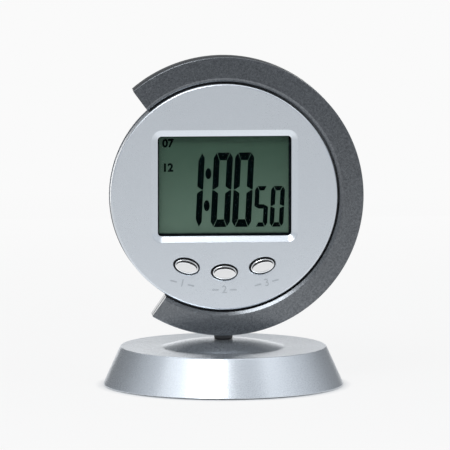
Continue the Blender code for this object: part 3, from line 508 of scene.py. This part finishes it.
# skins loops of equal counts in turn and closes both ends
def skinLoops(bm, loops):
    for near, far in zip(loops, loops[1:]):
        bmesh.ops.bridge_loops(bm, edges=near + far)
    for end in (loops[0], loops[-1]):
        bmesh.ops.holes_fill(bm, edges=end, sides=0)
    return bm


# a place in the head's plane, measured from its centre
def spot(x, y, turn=0.0):
    return headPlace @ Matrix.Translation((x, y, 0)) @ Matrix.Rotation(radians(turn), 4, "Z")


def onCircle(radius, angle):
    return radius * cos(radians(angle)), radius * sin(radians(angle))


basePlan = {"steps": 192, "domeSteps": 26, "domeCurve": 1.8, **lengths(
    topRadius=34.4, topHeight=13.1, topEdge=0.3, footEdge=0.2, domeRadius=20.8, domeFall=0.3, bore=3.1,
    bossRadius=5.2, bossEnd=7.7, ceiling=11.3, wall=1.97)}


def makeBase():
    plan = basePlan
    low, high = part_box("base_shell")
    rim, top, bore, wall = plan["topRadius"], plan["topHeight"], plan["bore"], plan["wall"]
    boss, bossEnd, ceiling = plan["bossRadius"], plan["bossEnd"], plan["ceiling"]
    rise = high.z - top + plan["domeFall"]
    dome = []
    for n in range(plan["domeSteps"] + 1):
        share = 1 - n / plan["domeSteps"]
        radius = bore + (plan["domeRadius"] - bore) * share
        dome.append((radius, high.z - rise * share ** plan["domeCurve"], 0))
    taper = (high.x - rim) / (top - low.z)
    ceilingRadius = high.x - taper * (ceiling - low.z) - wall
    outline = [(high.x, low.z, plan["footEdge"]), (rim, top, plan["topEdge"]), *dome, (bore, bossEnd, 0),
               (boss, bossEnd, 0), (boss, ceiling, 0), (ceilingRadius, ceiling, 0),
               (high.x - wall, low.z, 0)]
    base = rawObject("baseShell", turnedShape(outline, plan["steps"]))
    dress(base, basePaint, ["base_shell"], "stand")


makeBase()

padPlan = lengths(lowerEdge=0.25, upperEdge=0.15)


def makePad():
    plan = padPlan
    low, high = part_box("base_pad")
    outline = [(0, low.z, 0), (high.x, low.z, plan["lowerEdge"]),
               (high.x, high.z, plan["upperEdge"]), (0, high.z, 0)]
    pad = rawObject("basePad", turnedShape(outline, basePlan["steps"], roundSteps=3))
    dress(pad, blackFoam, ["base_pad"], "stand")


makePad()

postPlan = {"steps": 72, **lengths(
    radius=3.12, edge=0.08, journal=2.0, foot=15.8, tee=(11.0, 6.7, 3.0), soften=0.2)}


def makeNeck():
    plan = postPlan
    low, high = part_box("swivel_post")
    journal, radius, foot = plan["journal"], plan["radius"], plan["foot"]
    teeHeight = high.z - plan["tee"][2] / 2
    outline = [(0, low.z, 0), (journal, low.z, plan["soften"]), (journal, foot, 0),
               (radius, foot, plan["edge"]), (radius, teeHeight, 0), (0, teeHeight, 0)]
    neck = rawObject("swivelNeck", turnedShape(outline, plan["steps"], roundSteps=4))
    tee = bmesh.new()
    addBox(tee, plan["tee"], (0, (low.y + high.y) / 2, teeHeight))
    roundEdges(tee, tee.edges[:], plan["soften"], segments=2)
    combine(neck, "UNION", [(tee, None)])
    dress(neck, satinNeck, ["swivel_post"])


makeNeck()

# angles run anticlockwise from the right; slant is the turn of an end from its inner to its outer corner;
# nearEdge and nearTip: how close to an edge, or to one with rounded tips, counts as on it
crescentPlan = {
    "start": -120.2, "end": 131.4, "slant": -0.8, "steps": 120, "screwAngles": (113, 38, -37, -107),
    **lengths(
        inner=38.6, outer=46.6, nearEdge=0.1, nearTip=0.5, corner=0.35, front=5.0, chamfer=(1.1, 0.61),
        fall=0.78, edge=1.1, parting=1.5, groove=1.2, grooveDepth=0.9, back=-5.3, lip=31.397,
        lipFront=-4.0, bore=2.1, boreDepth=1.4, screwCircle=42.472)}


# a flat strip along the crescent's arc, with its outer corners rounded; trim shortens it at both ends
def crescentStrip(radii, depth, trim=0.0):
    plan = crescentPlan
    inner, outer, start = plan["inner"], plan["outer"], plan["start"] + trim
    slant = plan["slant"] / (outer - inner)
    bm = bmesh.new()
    verts = [bm.verts.new((*onCircle(radius, start + slant * (radius - inner)), depth)) for radius in radii]
    edges = [bm.edges.new(pair) for pair in zip(verts, verts[1:])]
    bmesh.ops.spin(bm, geom=verts + edges, cent=(0, 0, 0), axis=(0, 0, 1), steps=plan["steps"],
                   angle=radians(plan["end"] - plan["start"] - 2 * trim))
    tips = [vert for vert in bm.verts
            if len(vert.link_edges) == 2 and vert.co.xy.length > outer - plan["nearEdge"]]
    roundCorners(bm, tips, plan["corner"], segments=6)
    return bm


def lift(bm, faces, height):
    edges = list({edge for face in faces for edge in face.edges})
    made = bmesh.ops.extrude_face_region(bm, geom=faces + edges)["geom"]
    verts = [item for item in made if isinstance(item, bmesh.types.BMVert)]
    bmesh.ops.translate(bm, verts=verts, vec=(0, 0, height))
    return [item for item in made if isinstance(item, bmesh.types.BMFace)]


# the edges that lie at a depth and turn by more than an angle
def rimEdges(bm, depth, angle=60):
    bm.normal_update()
    return [edge for edge in bm.edges
            if all(abs(vert.co.z - depth) < tiny for vert in edge.verts) and edge.is_manifold
            and edge.calc_face_angle() > radians(angle)]


def makeCrescentFront():
    plan = crescentPlan
    inner, outer, parting = plan["inner"], plan["outer"], plan["parting"]
    chamferWidth, chamferDepth = plan["chamfer"]
    bm = crescentStrip((inner, inner + chamferWidth, outer), parting)
    top = {vert for face in lift(bm, bm.faces[:], plan["front"] - parting) for vert in face.verts}
    innerVerts = [vert for vert in top if vert.co.xy.length < inner + plan["nearEdge"]]
    outerVerts = [vert for vert in top if vert.co.xy.length > outer - plan["nearTip"]]
    bmesh.ops.translate(bm, verts=innerVerts, vec=(0, 0, -chamferDepth))
    bmesh.ops.translate(bm, verts=outerVerts, vec=(0, 0, -plan["fall"]))
    faceOut(bm)
    roundEdges(bm, rimEdges(bm, plan["front"] - plan["fall"]), plan["edge"], segments=5)
    shell = rawObject("crescentFront", bm, headPlace)
    dress(shell, gunmetalPaint, ["crescent_front"], sharpAngle=20)


def makeCrescentBack():
    plan = crescentPlan
    inner, back, lipFront = plan["inner"], plan["back"], plan["lipFront"]
    bm = crescentStrip((plan["lip"], inner, plan["outer"]), back)
    top = lift(bm, bm.faces[:], lipFront - back)
    wall = [face for face in top if face.calc_center_median().xy.length > inner]
    lift(bm, wall, plan["parting"] - plan["groove"] - lipFront)
    faceOut(bm)
    roundEdges(bm, rimEdges(bm, back), plan["edge"], segments=4)
    shell = rawObject("crescentBack", bm, headPlace)
    bores = []
    for angle in plan["screwAngles"]:
        bore = bmesh.new()
        skinLoops(bore, [circleLoop(bore, plan["bore"], depth, steps=40)
                         for depth in (back - overcut, back + plan["boreDepth"])])
        bores.append((bore, spot(*onCircle(plan["screwCircle"], angle))))
    combine(shell, "DIFFERENCE", bores)
    dress(shell, gunmetalPaint, ["crescent_back"])


# the tongue that closes the groove between the two shells
def makeCrescentTongue():
    plan = crescentPlan
    sunk, groove = plan["grooveDepth"], plan["groove"]
    bm = crescentStrip((plan["inner"] + sunk, plan["outer"] - sunk), plan["parting"] - groove,
                       degrees(sunk / plan["inner"]))
    lift(bm, bm.faces[:], groove)
    dress(rawObject("crescentTongue", bm, headPlace), gunmetalPaint)


makeCrescentFront()
makeCrescentBack()
makeCrescentTongue()

# softEdge: the rounding of the window's bevel, (outward, down) in shares of soften
# holeEdge: the rounding of a button's hole, (outward, down)
bezelPlan = {
    "steps": 192, "cornerSteps": 12, "softEdge": ((-0.5, 0.55), (0.5, 0.1), (1.0, 0.0)), **lengths(
        edge=0.65, backEdge=0.15, wall=1.8, faceWall=2.2, window=(44.6, 33.4), windowPlace=(0.15, 3.59),
        corner=1.3, bevelWidth=1.95, bevelDepth=1.0, soften=0.22,
        holeEdge=((0, 0.32), (0.06, 0.12), (0.24, 0)))}
# ringEdge: the rounding of a button's outer ring, (inward, down)
buttonPlan = {"turns": {"left": -14, "middle": 0, "right": 14}, **lengths(
    halfLength=3.95, halfHeight=2.25, gap=0.55, ring=7.15, ringWidth=0.38,
    ringEdge=((0, 0.22), (0.05, 0.08), (0.16, 0)), slit=0.03, slitEdge=0.05, grooveDepth=0.9, cap=7.25,
    capEdge=0.08, dip=0.3, flange=1.3, flangeFront=3.0, flangeBack=2.2, stem=1.2, stemEnd=0.1,
    plugLap=0.05, plugBack=0.1, plugFront=0.35)}


# the middle of a button in the head's plane, and its turn
def buttonPlace(name):
    low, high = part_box("button_" + name)
    return (low.x + high.x) / 2, (low.z + high.z) / 2 - headHeight, buttonPlan["turns"][name]


buttonPlaces = {name: buttonPlace(name) for name in buttonPlan["turns"]}
faceBack = faceFront - bezelPlan["faceWall"]


# the (growth, depth) rounds of a tool that opens the face from behind, with the profile of its edge
def toolRounds(profile):
    return [(0, faceBack - overcut), *[(out, faceFront - down) for out, down in profile],
            (profile[-1][0], faceFront + overcut)]


def windowTool():
    plan = bezelPlan
    width, height = plan["window"]
    soft = plan["soften"]
    profile = [(0, plan["bevelDepth"])]
    profile += [(plan["bevelWidth"] + soft * out, soft * down) for out, down in plan["softEdge"]]
    window = bmesh.new()
    skinLoops(window, [boxLoop(window, width + 2 * grow, height + 2 * grow, plan["corner"] + grow,
                               depth, plan["cornerSteps"]) for grow, depth in toolRounds(profile)])
    return window, spot(*plan["windowPlace"])


def holeTool(place):
    half = buttonPlan["halfLength"] + buttonPlan["gap"]
    tall = buttonPlan["halfHeight"] + buttonPlan["gap"]
    hole = bmesh.new()
    skinLoops(hole, [circleLoop(hole, half + grow, depth, (tall + grow) / (half + grow))
                     for grow, depth in toolRounds(bezelPlan["holeEdge"])])
    return hole, spot(*place)


def makeBezel():
    plan = bezelPlan
    inside = caseRadius - plan["wall"]
    outline = [(0, faceFront, 0), (caseRadius, faceFront, plan["edge"]),
               (caseRadius, bezelBack, plan["backEdge"]), (inside, bezelBack, 0),
               (inside, faceBack, 0), (0, faceBack, 0)]
    bezel = rawObject("frontBezel", turnedShape(outline, plan["steps"]), headPlace)
    holes = [holeTool(place) for place in buttonPlaces.values()]
    combine(bezel, "DIFFERENCE", [windowTool(), *holes])
    joinFlats(bezel)
    dress(bezel, silverPaint, ["front_bezel"])


makeBezel()


# the plated cap, its middle low in its ring so that a dark sickle shows above it, and behind it the flange,
# stem and groove plug in black plastic, a painted shade for the deep gap round the cap
def makeButtons():
    plan = buttonPlan
    ring, cap = plan["ring"], plan["cap"]
    flangeFront, flangeBack = plan["flangeFront"], plan["flangeBack"]
    inner = -plan["ringWidth"]
    edge = inner - plan["slit"]
    floor = ring - plan["grooveDepth"]
    ringRounds = [(0, flangeFront), *[(-inward, ring - down) for inward, down in plan["ringEdge"]],
                  (inner + plan["slitEdge"], ring), (inner, ring - plan["slitEdge"]),
                  (inner, floor)]
    middleRounds = [(edge, floor), (edge, cap - plan["capEdge"]), (edge - plan["capEdge"], cap)]

    def oval(bm, grow, depth, dip=0.0):
        wide, tall = plan["halfLength"] + grow, plan["halfHeight"] + grow - dip
        loop = circleLoop(bm, wide, depth, tall / wide)
        verts = {vert for edge in loop for vert in edge.verts}
        bmesh.ops.translate(bm, verts=list(verts), vec=(0, -dip, 0))
        return loop

    for name, place in buttonPlaces.items():
        bm = bmesh.new()
        skinLoops(bm, [oval(bm, grow, depth) for grow, depth in ringRounds]
                  + [oval(bm, grow, depth, plan["dip"]) for grow, depth in middleRounds])
        button = rawObject("buttonCap" + name.title(), bm, spot(*place))
        dress(button, chromePlate, ["button_" + name], "button_" + name, sharpAngle=40)

        # painted shade: the flange, stem and plug are black so that the gaps round the cap look dark
        bm = bmesh.new()
        stem = [circleLoop(bm, plan["stem"], depth) for depth in (plan["stemEnd"], flangeBack)]
        flange = [oval(bm, plan["flange"], depth) for depth in (flangeBack, flangeFront)]
        skinLoops(bm, stem + flange)
        skinLoops(bm, [oval(bm, inner + plan["plugLap"], depth)
                       for depth in (floor - plan["plugBack"], floor + plan["plugFront"])])
        dress(rawObject("buttonStem" + name.title(), bm, spot(*place)), blackPlastic,
              body="button_" + name)


makeButtons()

labelPlan = {"text": {"left": "1", "middle": "2", "right": "3"}, **lengths(
    height=2.5, relief=0.3, sunk=0.075, drop=5.9, bar=(2.2, 0.42), barReach=3.0)}
# a number's height as a share of the size of Blender's own font
fontShare = 0.7


# plain numbers as a mesh, centred on the origin
def numberMesh(text, height, relief, bold=0.0):
    curve = bpy.data.curves.new("number", "FONT")
    curve.body = text
    curve.size = height / fontShare
    curve.offset = bold
    curve.align_x = curve.align_y = "CENTER"
    curve.extrude = relief / 2
    curve.resolution_u = 4
    words = bpy.data.objects.new("number", curve)
    scene.collection.objects.link(words)
    mesh = evaluatedMesh(words)
    bpy.data.objects.remove(words)
    bm = bmesh.new()
    bm.from_mesh(mesh)
    bpy.data.meshes.remove(mesh)
    return bm


# raised numbers under the buttons, moulded with the bezel
def makeLabels():
    plan = labelPlan
    relief = plan["relief"]
    level = faceFront + relief / 2 - plan["sunk"]
    for name, place in buttonPlaces.items():
        bm = numberMesh(plan["text"][name], plan["height"], relief)
        for side in (-1, 1):
            addBox(bm, (*plan["bar"], relief), (side * plan["barReach"], 0, 0))
        bmesh.ops.translate(bm, verts=bm.verts[:], vec=(0, -plan["drop"], level))
        dress(rawObject("buttonNumber" + name.title(), bm, spot(*place)), labelPaint)


makeLabels()

# cut to toe shape the ends of a bar, as shares of its width, of the cut, or of the gap between bars
digitPlan = {
    "lean": tan(radians(2.8)), "cut": 0.45, "shoulder": 1.9, "inset": 0.25, "heel": 0.46,
    "heelGap": 0.8, "toe": 0.3, "colonStretch": 1.83, "flags": {"Upper": "07", "Lower": "12"},
    "hours": {"text": "100", **lengths(
        lefts=(-13.84, -4.43, 2.68), bottom=-10.39, height=24.9, width=6.4, upright=2.03, level=2.55)},
    "seconds": {"text": "50", **lengths(
        lefts=(9.9, 15.28), bottom=-10.39, height=13.6, width=4.6, upright=1.5, level=1.45)},
    **lengths(relief=0.04, gap=0.18, colon=((-5.1, 7.49), (-5.65, -3.21)), colonRadius=1.0, bold=0.14,
              flagHeight=2.6, flagUpper=(-18.6, 17.64), flagLower=(-18.66, 9.49))}
litBars = {"0": "abcdef", "1": "bc", "5": "afgcd"}


# one seven-bar figure as flat plates, its foot starting at left
def drawFigure(bm, figure, left, size):
    plan = digitPlan
    wide, tall = size["width"], size["height"]
    upright, level, gap = size["upright"], size["level"], plan["gap"]
    middle, half = tall / 2, level / 2
    cut, inset = plan["cut"] * upright, plan["inset"] * gap
    heel, end = middle + plan["heel"] * level, middle + plan["heelGap"] * gap
    outlines = {
        "a": [(cut + gap, tall), (wide - cut - gap, tall), (wide - upright - inset, tall - level),
              (upright + inset, tall - level)],
        "f": [(0, tall - plan["shoulder"] * cut), (cut, tall - gap), (upright, tall - level - gap),
              (upright, heel), (plan["toe"] * upright, end), (0, end)],
        "g": [(gap, middle), (upright, middle + half), (wide - upright, middle + half),
              (wide - gap, middle), (wide - upright, middle - half), (upright, middle - half)]}
    flip = {"d": ("a", False, True), "b": ("f", True, False), "e": ("f", False, True),
            "c": ("f", True, True)}
    for bar in litBars[figure]:
        source, sideways, upside = flip.get(bar, (bar, False, False))
        verts = []
        for x, y in outlines[source]:
            x = wide - x if sideways else x
            y = tall - y if upside else y
            verts.append(bm.verts.new((left + x + y * plan["lean"], size["bottom"] + y, 0)))
        bm.faces.new(verts)


def makeDigits():
    plan = digitPlan
    front = -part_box("lcd_panel")[0].y
    bm = bmesh.new()
    for size in (plan["hours"], plan["seconds"]):
        for figure, left in zip(size["text"], size["lefts"]):
            drawFigure(bm, figure, left, size)
    for x, y in plan["colon"]:
        place = Matrix.Translation((x, y, 0)) @ Matrix.Diagonal((1, plan["colonStretch"], 1, 1))
        bmesh.ops.create_circle(bm, cap_ends=True, segments=28, radius=plan["colonRadius"], matrix=place)
    lift(bm, bm.faces[:], plan["relief"])
    bmesh.ops.translate(bm, verts=bm.verts[:], vec=(0, 0, front))
    dress(rawObject("displayFigures", bm, headPlace), segmentInk)
    for side, text in plan["flags"].items():
        x, y = plan["flag" + side]
        bm = numberMesh(text, plan["flagHeight"], plan["relief"], plan["bold"])
        bmesh.ops.translate(bm, verts=bm.verts[:], vec=(x, y, front + plan["relief"] / 2))
        dress(rawObject("displayFlag" + side, bm, headPlace), segmentInk)


makeDigits()

rearPlan = {
    "steps": 160, "rim": caseRadius + 0.22 * mm, "recessSteps": 96,
    "soundAngles": (60, 120, 180, 240, 300, 360), **lengths(
        rimFront=-2.5, rimBack=-3.7, rimEdges=(0.25, 0.1), foot=30.797, footEdge=0.3, footWall=0.8,
        flat=26.997, back=-10.2, edge=2.0, flatWall=0.6, insideEdge=0.8, wall=1.5, doorDrop=-7.0,
        recess=13.7, recessEdge=0.2, wellOuter=15.2, wellRoot=0.5, wellFront=-3.8, wellBack=-4.6,
        ledge=(11.5, -8.7, -7.9), groove=(13.2, -6.5), soundRise=16.6, soundCircle=3.2, soundHole=0.6,
        soundEdge=(0.15, 0.2))}


# the stepped opening for the battery door: rim, ledge, groove for the tabs, and well
def recessTool():
    plan = rearPlan
    back, recess, edge = plan["back"], plan["recess"], plan["recessEdge"]
    ledge, ledgeBack, ledgeFront = plan["ledge"]
    groove, grooveFront = plan["groove"]
    outline = [(0, back - overcut), (recess + edge, back - overcut), (recess + edge, back),
               (recess, back + edge), (recess, ledgeBack), (ledge, ledgeBack), (ledge, ledgeFront),
               (groove, ledgeFront), (groove, grooveFront), (ledge, grooveFront),
               (ledge, plan["wellBack"]), (0, plan["wellBack"])]
    return turnedShape([(radius, depth, 0) for radius, depth in outline], plan["recessSteps"])


def soundTool(inside):
    plan = rearPlan
    back = plan["back"]
    flare, flareDepth = plan["soundEdge"]
    rounds = [(flare, back - overcut), (flare, back), (0, back + flareDepth), (0, inside + overcut)]
    hole = bmesh.new()
    return skinLoops(hole, [circleLoop(hole, plan["soundHole"] + grow, depth, steps=24)
                            for grow, depth in rounds])


def makeRearCase():
    plan = rearPlan
    back, flat, foot, rim = plan["back"], plan["flat"], plan["foot"], plan["rim"]
    backEdge, frontEdge = plan["rimEdges"]
    inside = back + plan["wall"]
    outline = [(0, back, 0), (flat, back, plan["edge"]),
               (foot, plan["rimBack"], plan["footEdge"]), (rim, plan["rimBack"], backEdge),
               (rim, plan["rimFront"], frontEdge), (foot - plan["footWall"], plan["rimFront"], 0),
               (flat - plan["flatWall"], inside, plan["insideEdge"]), (0, inside, 0)]
    case = rawObject("rearCase", turnedShape(outline, plan["steps"], roundSteps=6), headPlace)
    centre = spot(0, plan["doorDrop"])
    well = bmesh.new()
    skinLoops(well, [circleLoop(well, plan["wellOuter"], depth)
                     for depth in (inside - plan["wellRoot"], plan["wellFront"])])
    combine(case, "UNION", [(well, centre)])
    openings = [(recessTool(), centre)]
    for x, y in [(0, 0), *[onCircle(plan["soundCircle"], angle) for angle in plan["soundAngles"]]]:
        openings.append((soundTool(inside), spot(x, y + plan["soundRise"])))
    combine(case, "DIFFERENCE", openings)
    dress(case, gunmetalPaint, ["rear_case"])


makeRearCase()

doorPlan = {"steps": 128, "tabAngle": 40, "tabSteps": 10, "slotRound": 0.48, **lengths(
    radius=13.4, back=-10.2, front=-9.0, edge=0.25, skirt=(10.5, 11.2, -6.8), tabReach=12.9, tabRoot=0.3,
    tabEdge=0.1, tabDepths=(-7.6, -6.8), slot=(14.0, 1.8, 0.7), slotEdge=(0.3, 0.18))}


def makeDoor():
    plan = doorPlan
    radius, back, front = plan["radius"], plan["back"], plan["front"]
    centre = spot(0, rearPlan["doorDrop"])
    inner, outer, end = plan["skirt"]
    outline = [(0, back, 0), (radius, back, plan["edge"]), (radius, front, 0), (outer, front, 0),
               (outer, end, 0), (inner, end, 0), (inner, front, 0), (0, front, 0)]
    door = rawObject("batteryDoor", turnedShape(outline, plan["steps"]), centre)

    root, reach, edge = outer - plan["tabRoot"], plan["tabReach"], plan["tabEdge"]
    low, high = plan["tabDepths"]
    tabs = []
    for side in (0, 180):
        tab = turnedShape([(root, low, 0), (reach, low, edge), (reach, high, edge), (root, high, 0)],
                          plan["tabSteps"], roundSteps=2, sweep=radians(plan["tabAngle"]))
        turn = Matrix.Rotation(radians(side - plan["tabAngle"] / 2), 4, "Z")
        tabs.append((tab, centre @ turn))
    combine(door, "UNION", tabs)

    length, width, depth = plan["slot"]
    flare, flareDepth = plan["slotEdge"]
    rounds = [(flare, back - overcut), (flare, back), (0, back + flareDepth), (0, back + depth)]
    slot = bmesh.new()
    skinLoops(slot, [boxLoop(slot, length + grow, width + grow, (width + grow) * plan["slotRound"], level)
                     for grow, level in rounds])
    combine(door, "DIFFERENCE", [(slot, centre)])
    dress(door, gunmetalPaint, ["battery_door"], "battery_door")


makeDoor()

screwPlan = {"steps": 48, **lengths(
    head=1.8, headEdge=0.5, headHeight=0.8, rimEdge=0.05, shank=1.0, tipEdge=0.2, crossArm=1.1,
    crossWidth=0.42, crossDepth=0.45)}


# a pan-head screw along the node that it stands for, its head towards the clock's back
def makeScrew(node, name):
    plan = screwPlan
    low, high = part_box(node)
    head, shank, under, length = plan["head"], plan["shank"], plan["headHeight"], high.y - low.y
    place = standUp((low.x + high.x) / 2, high.y, (low.z + high.z) / 2)
    outline = [(0, 0, 0), (head, 0, plan["headEdge"]), (head, under, plan["rimEdge"]),
               (shank, under, 0), (shank, length, plan["tipEdge"]), (0, length, 0)]
    screw = rawObject(name, turnedShape(outline, plan["steps"], roundSteps=6), place)
    for turn in (0, 90):
        arm = bmesh.new()
        addBox(arm, (2 * plan["crossArm"], plan["crossWidth"], 2 * plan["crossDepth"]), turn=turn)
        combine(screw, "DIFFERENCE", [(arm, place)])
    dress(screw, zincSteel, [node])


for number in range(1, 5):
    makeScrew(f"crescent_screw_{number}", f"crescentScrew{number}")
    makeScrew(f"case_screw_{number}", f"caseScrew{number}")

# shares of the dome's radius and height, then the roundings of its three corners
domePlan = {"steps": 48, "wall": 0.2, "shoulder": (0.7, 0.9), "crown": 0.55,
            **lengths(edges=(0.08, 0.12, 0.1), travel=0.8)}


# soft domes under the buttons
def makeSwitchDomes():
    plan = domePlan
    wallEdge, shoulderEdge, crownEdge = plan["edges"]
    shoulderOut, shoulderUp = plan["shoulder"]
    for name, (x, y, turn) in buttonPlaces.items():
        node = "switch_dome_" + name
        low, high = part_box(node)
        radius, tall = (high.x - low.x) / 2, high.y - low.y
        outline = [(0, 0, 0), (radius, 0, 0), (radius, plan["wall"] * tall, wallEdge),
                   (shoulderOut * radius, shoulderUp * tall, shoulderEdge),
                   (plan["crown"] * radius, tall, crownEdge), (0, tall, 0)]
        dome = rawObject("switchDome" + name.title(), turnedShape(outline, plan["steps"], roundSteps=3),
                         standUp(x, high.y, y + headHeight))
        dress(dome, greyRubber, [node])
        y + headHeight
        1 - plan["travel"] / tall
        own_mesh(dome)


makeSwitchDomes()
print("pieces made")

# finishes of the nodes that keep their own shape
keptNodes = [
    (blackPlastic, "base_plate", "swivel_bush", "lcd_carrier"),
    (zincSteel, "ballast_ring", "base_screw_1", "base_screw_2", "base_screw_3", "friction_washer",
     "swivel_screw"),
    (clearSheet, "window_lens"), (displaySheet, "lcd_panel"), (solderMask, "circuit_board"),
    (greyRubber, "zebra_strip_upper", "zebra_strip_lower"), (blackEpoxy, "chip_blob"),
    (brightSteel, "quartz_crystal", "coin_cell", "positive_contact", "negative_contact"),
    (buzzerBrass, "buzzer_disc")]
for finish, *nodes in keptNodes:
    for node in nodes:
        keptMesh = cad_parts[node].data
        keptMesh.materials.clear()
        keptMesh.materials.append(finish)
print("kept nodes dressed")


# a direction away from the clock; azimuth 0 is straight in front and grows to the right
def outward(azimuth, height):
    turn, rise = radians(azimuth), radians(height)
    return Vector((sin(turn) * cos(rise), -cos(turn) * cos(rise), sin(rise)))


# a camera or lamp that faces a point
def facing(data, aim, plan):
    away = outward(plan["azimuth"], plan["height"])
    item = bpy.data.objects.new(data.name, data)
    item.location = aim + away * plan["distance"]
    item.rotation_euler = away.to_track_quat("Z", "Y").to_euler()
    scene.collection.objects.link(item)
    return item


cameraPlan = {
    "azimuth": -3.9, "height": 6.43, "distance": 2.5, "sensor": 36, "farthest": 20, **lengths(
        aimRight=0.56, aimHeight=53.62, frame=150.05)}


def makeCamera():
    plan = cameraPlan
    eye = bpy.data.cameras.new("eye")
    eye.sensor_width = plan["sensor"]
    eye.lens = plan["sensor"] * plan["distance"] / plan["frame"]
    eye.clip_end = plan["farthest"]
    right = outward(plan["azimuth"] + 90, 0)
    scene.camera = facing(eye, Vector((0, 0, plan["aimHeight"])) + right * plan["aimRight"], plan)


makeCamera()

lampPlans = {
    "keyBox": {"azimuth": -19.5, "height": 44, "distance": 1.0, "size": (0.35, 0.32), "level": 6.5},
    "keyWing": {"azimuth": -50, "height": 42, "distance": 1.0, "size": (0.8, 0.34), "level": 0.8},
    "sideWing": {"azimuth": 62, "height": 42, "distance": 1.0, "size": (0.5, 0.3), "level": 0.62},
    "backCard": {"azimuth": 180, "height": 0.3, "distance": 0.5, "size": (0.32, 0.105), "level": 0.95},
    "topBox": {"azimuth": 0, "height": 82, "distance": 1.0, "size": (0.9, 0.5), "level": 0.65}}
lampAim = Vector((0, 0, 0.05))
levelWatts = 4


# softboxes around the clock; level is how bright one looks in a mirror, and levelWatts the power of a
# square metre at a level of 1
def makeLamps():
    for name, plan in lampPlans.items():
        light = bpy.data.lights.new(name, "AREA")
        light.shape = "RECTANGLE"
        light.size, light.size_y = plan["size"]
        light.energy = levelWatts * plan["level"] * light.size * light.size_y
        facing(light, lampAim, plan).visible_camera = False


makeLamps()

# around: how bright the studio looks in what shines, from straight in front to straight behind
# band and bandFront: how much of that a dark band takes away, by height and by the turn from the front
worldPlan = {
    "seen": (0.956, 0.956, 0.956, 1), "fill": (0.93, 0.96, 1.0, 1), "fillLevel": 0.5,
    "around": [(0.0, 0.56), (0.06, 0.58), (0.16, 0.78), (0.33, 0.8), (0.54, 0.66), (0.78, 0.32),
               (0.9, 0.25), (1.0, 0.2)],
    "overhead": 0.8, "overheadFrom": [(0.45, 0.0), (0.75, 1.0)], "toRight": 0.06,
    "band": [(0.17, 0.0), (0.27, 0.75), (0.4, 0.75), (0.5, 0.0)], "bandFront": [(0.0, 1.0), (0.1, 0.0)]}


# white to the camera, an even fill for what is matt, and a studio that darkens behind for what shines
def makeWorld():
    plan = worldPlan
    world = bpy.data.worlds.new("studio")
    world.use_nodes = True
    scene.world = world
    board = Board(world.node_tree)
    point = board.node("ShaderNodeTexCoord", {}, {}, "Generated")
    level = board.vector("NORMALIZE", board.vector("MULTIPLY", point, (1, 1, 0)))
    turn = board.part(level, "Y") * 0.5 + 0.5
    across = board.part(level, "X")
    upward = board.part(point, "Z")
    around = board.ramp(turn, plan["around"])
    above = board.ramp(upward, plan["overheadFrom"])
    studio = (around + above * (plan["overhead"] - around)) * (across * plan["toRight"] + 1)
    band = board.ramp(upward, plan["band"]) * board.ramp(turn, plan["bandFront"])
    mirrored = board.background(plan["fill"], studio * (1 - band))
    fill = board.background(plan["fill"], plan["fillLevel"])
    light = board.mixShader(board.ray("Glossy"), fill, mirrored)
    plain = board.sum("MAXIMUM", board.ray("Camera"), board.ray("Transmission"))
    shown = board.mixShader(plain, light, board.background(plan["seen"], 1.0))
    board.node("ShaderNodeOutputWorld", {}, {"Surface": shown})


makeWorld()

# the floor's painted pool of light: how bright it looks in what shines, by the distance in metres from the
# pool's centre
# seenShare: how much of the floor's tone is plain to the camera, none under the base
floorPlan = {
    "size": 6.0, "dark": (0.84, 0.84, 0.84), "light": (0.86, 0.86, 0.86), "grainScale": 40.0,
    "seen": 0.956, "seenShare": [(0.0398, 0.0), (0.0415, 0.9), (0.6, 1.0)],
    "paintedPool": [(0.05, 1.0), (0.1, 0.77), (0.2, 0.7), (0.35, 0.67), (0.6, 0.59), (0.85, 0.53)],
    "paintedPoolLevel": 1.3, "paintedPoolShare": 0.8, "paintedPoolCentre": (0.0, -0.06, 0.0)}


# a pale floor that keeps a soft shadow, with a painted pool of light by the clock that only what shines
# sees
def makeFloor():
    plan = floorPlan
    bm = bmesh.new()
    bmesh.ops.create_grid(bm, x_segments=1, y_segments=1, size=plan["size"])
    floor = rawObject("floor", bm)
    material, board = newFinish("paleFloor")
    tone = board.tint(board.noise(plan["grainScale"]), plan["dark"], plan["light"])
    lit = board.node("ShaderNodeBsdfDiffuse", {}, {"Color": tone})
    camera = board.ray("Camera")
    glossy = board.ray("Glossy")
    away = board.vector("LENGTH", board.objectPoint(), output="Value")
    aside = board.vector("DISTANCE", board.objectPoint(), plan["paintedPoolCentre"], output="Value")
    # painted light: in reflections the floor glows brightest near the clock
    paintedPool = board.ramp(aside, plan["paintedPool"]) * plan["paintedPoolLevel"]
    plain = board.ramp(away, plan["seenShare"])
    glow = board.node("ShaderNodeEmission", {}, {
        "Color": (1, 1, 1, 1), "Strength": camera * plan["seen"] + glossy * paintedPool})
    board.surface(board.mixShader(camera * plain + glossy * plan["paintedPoolShare"], lit, glow))
    floor.data.materials.append(material)


makeFloor()
scene.view_settings.view_transform = "Standard"
print("camera, lamps and floor made")

bpy.context.view_layer.update()
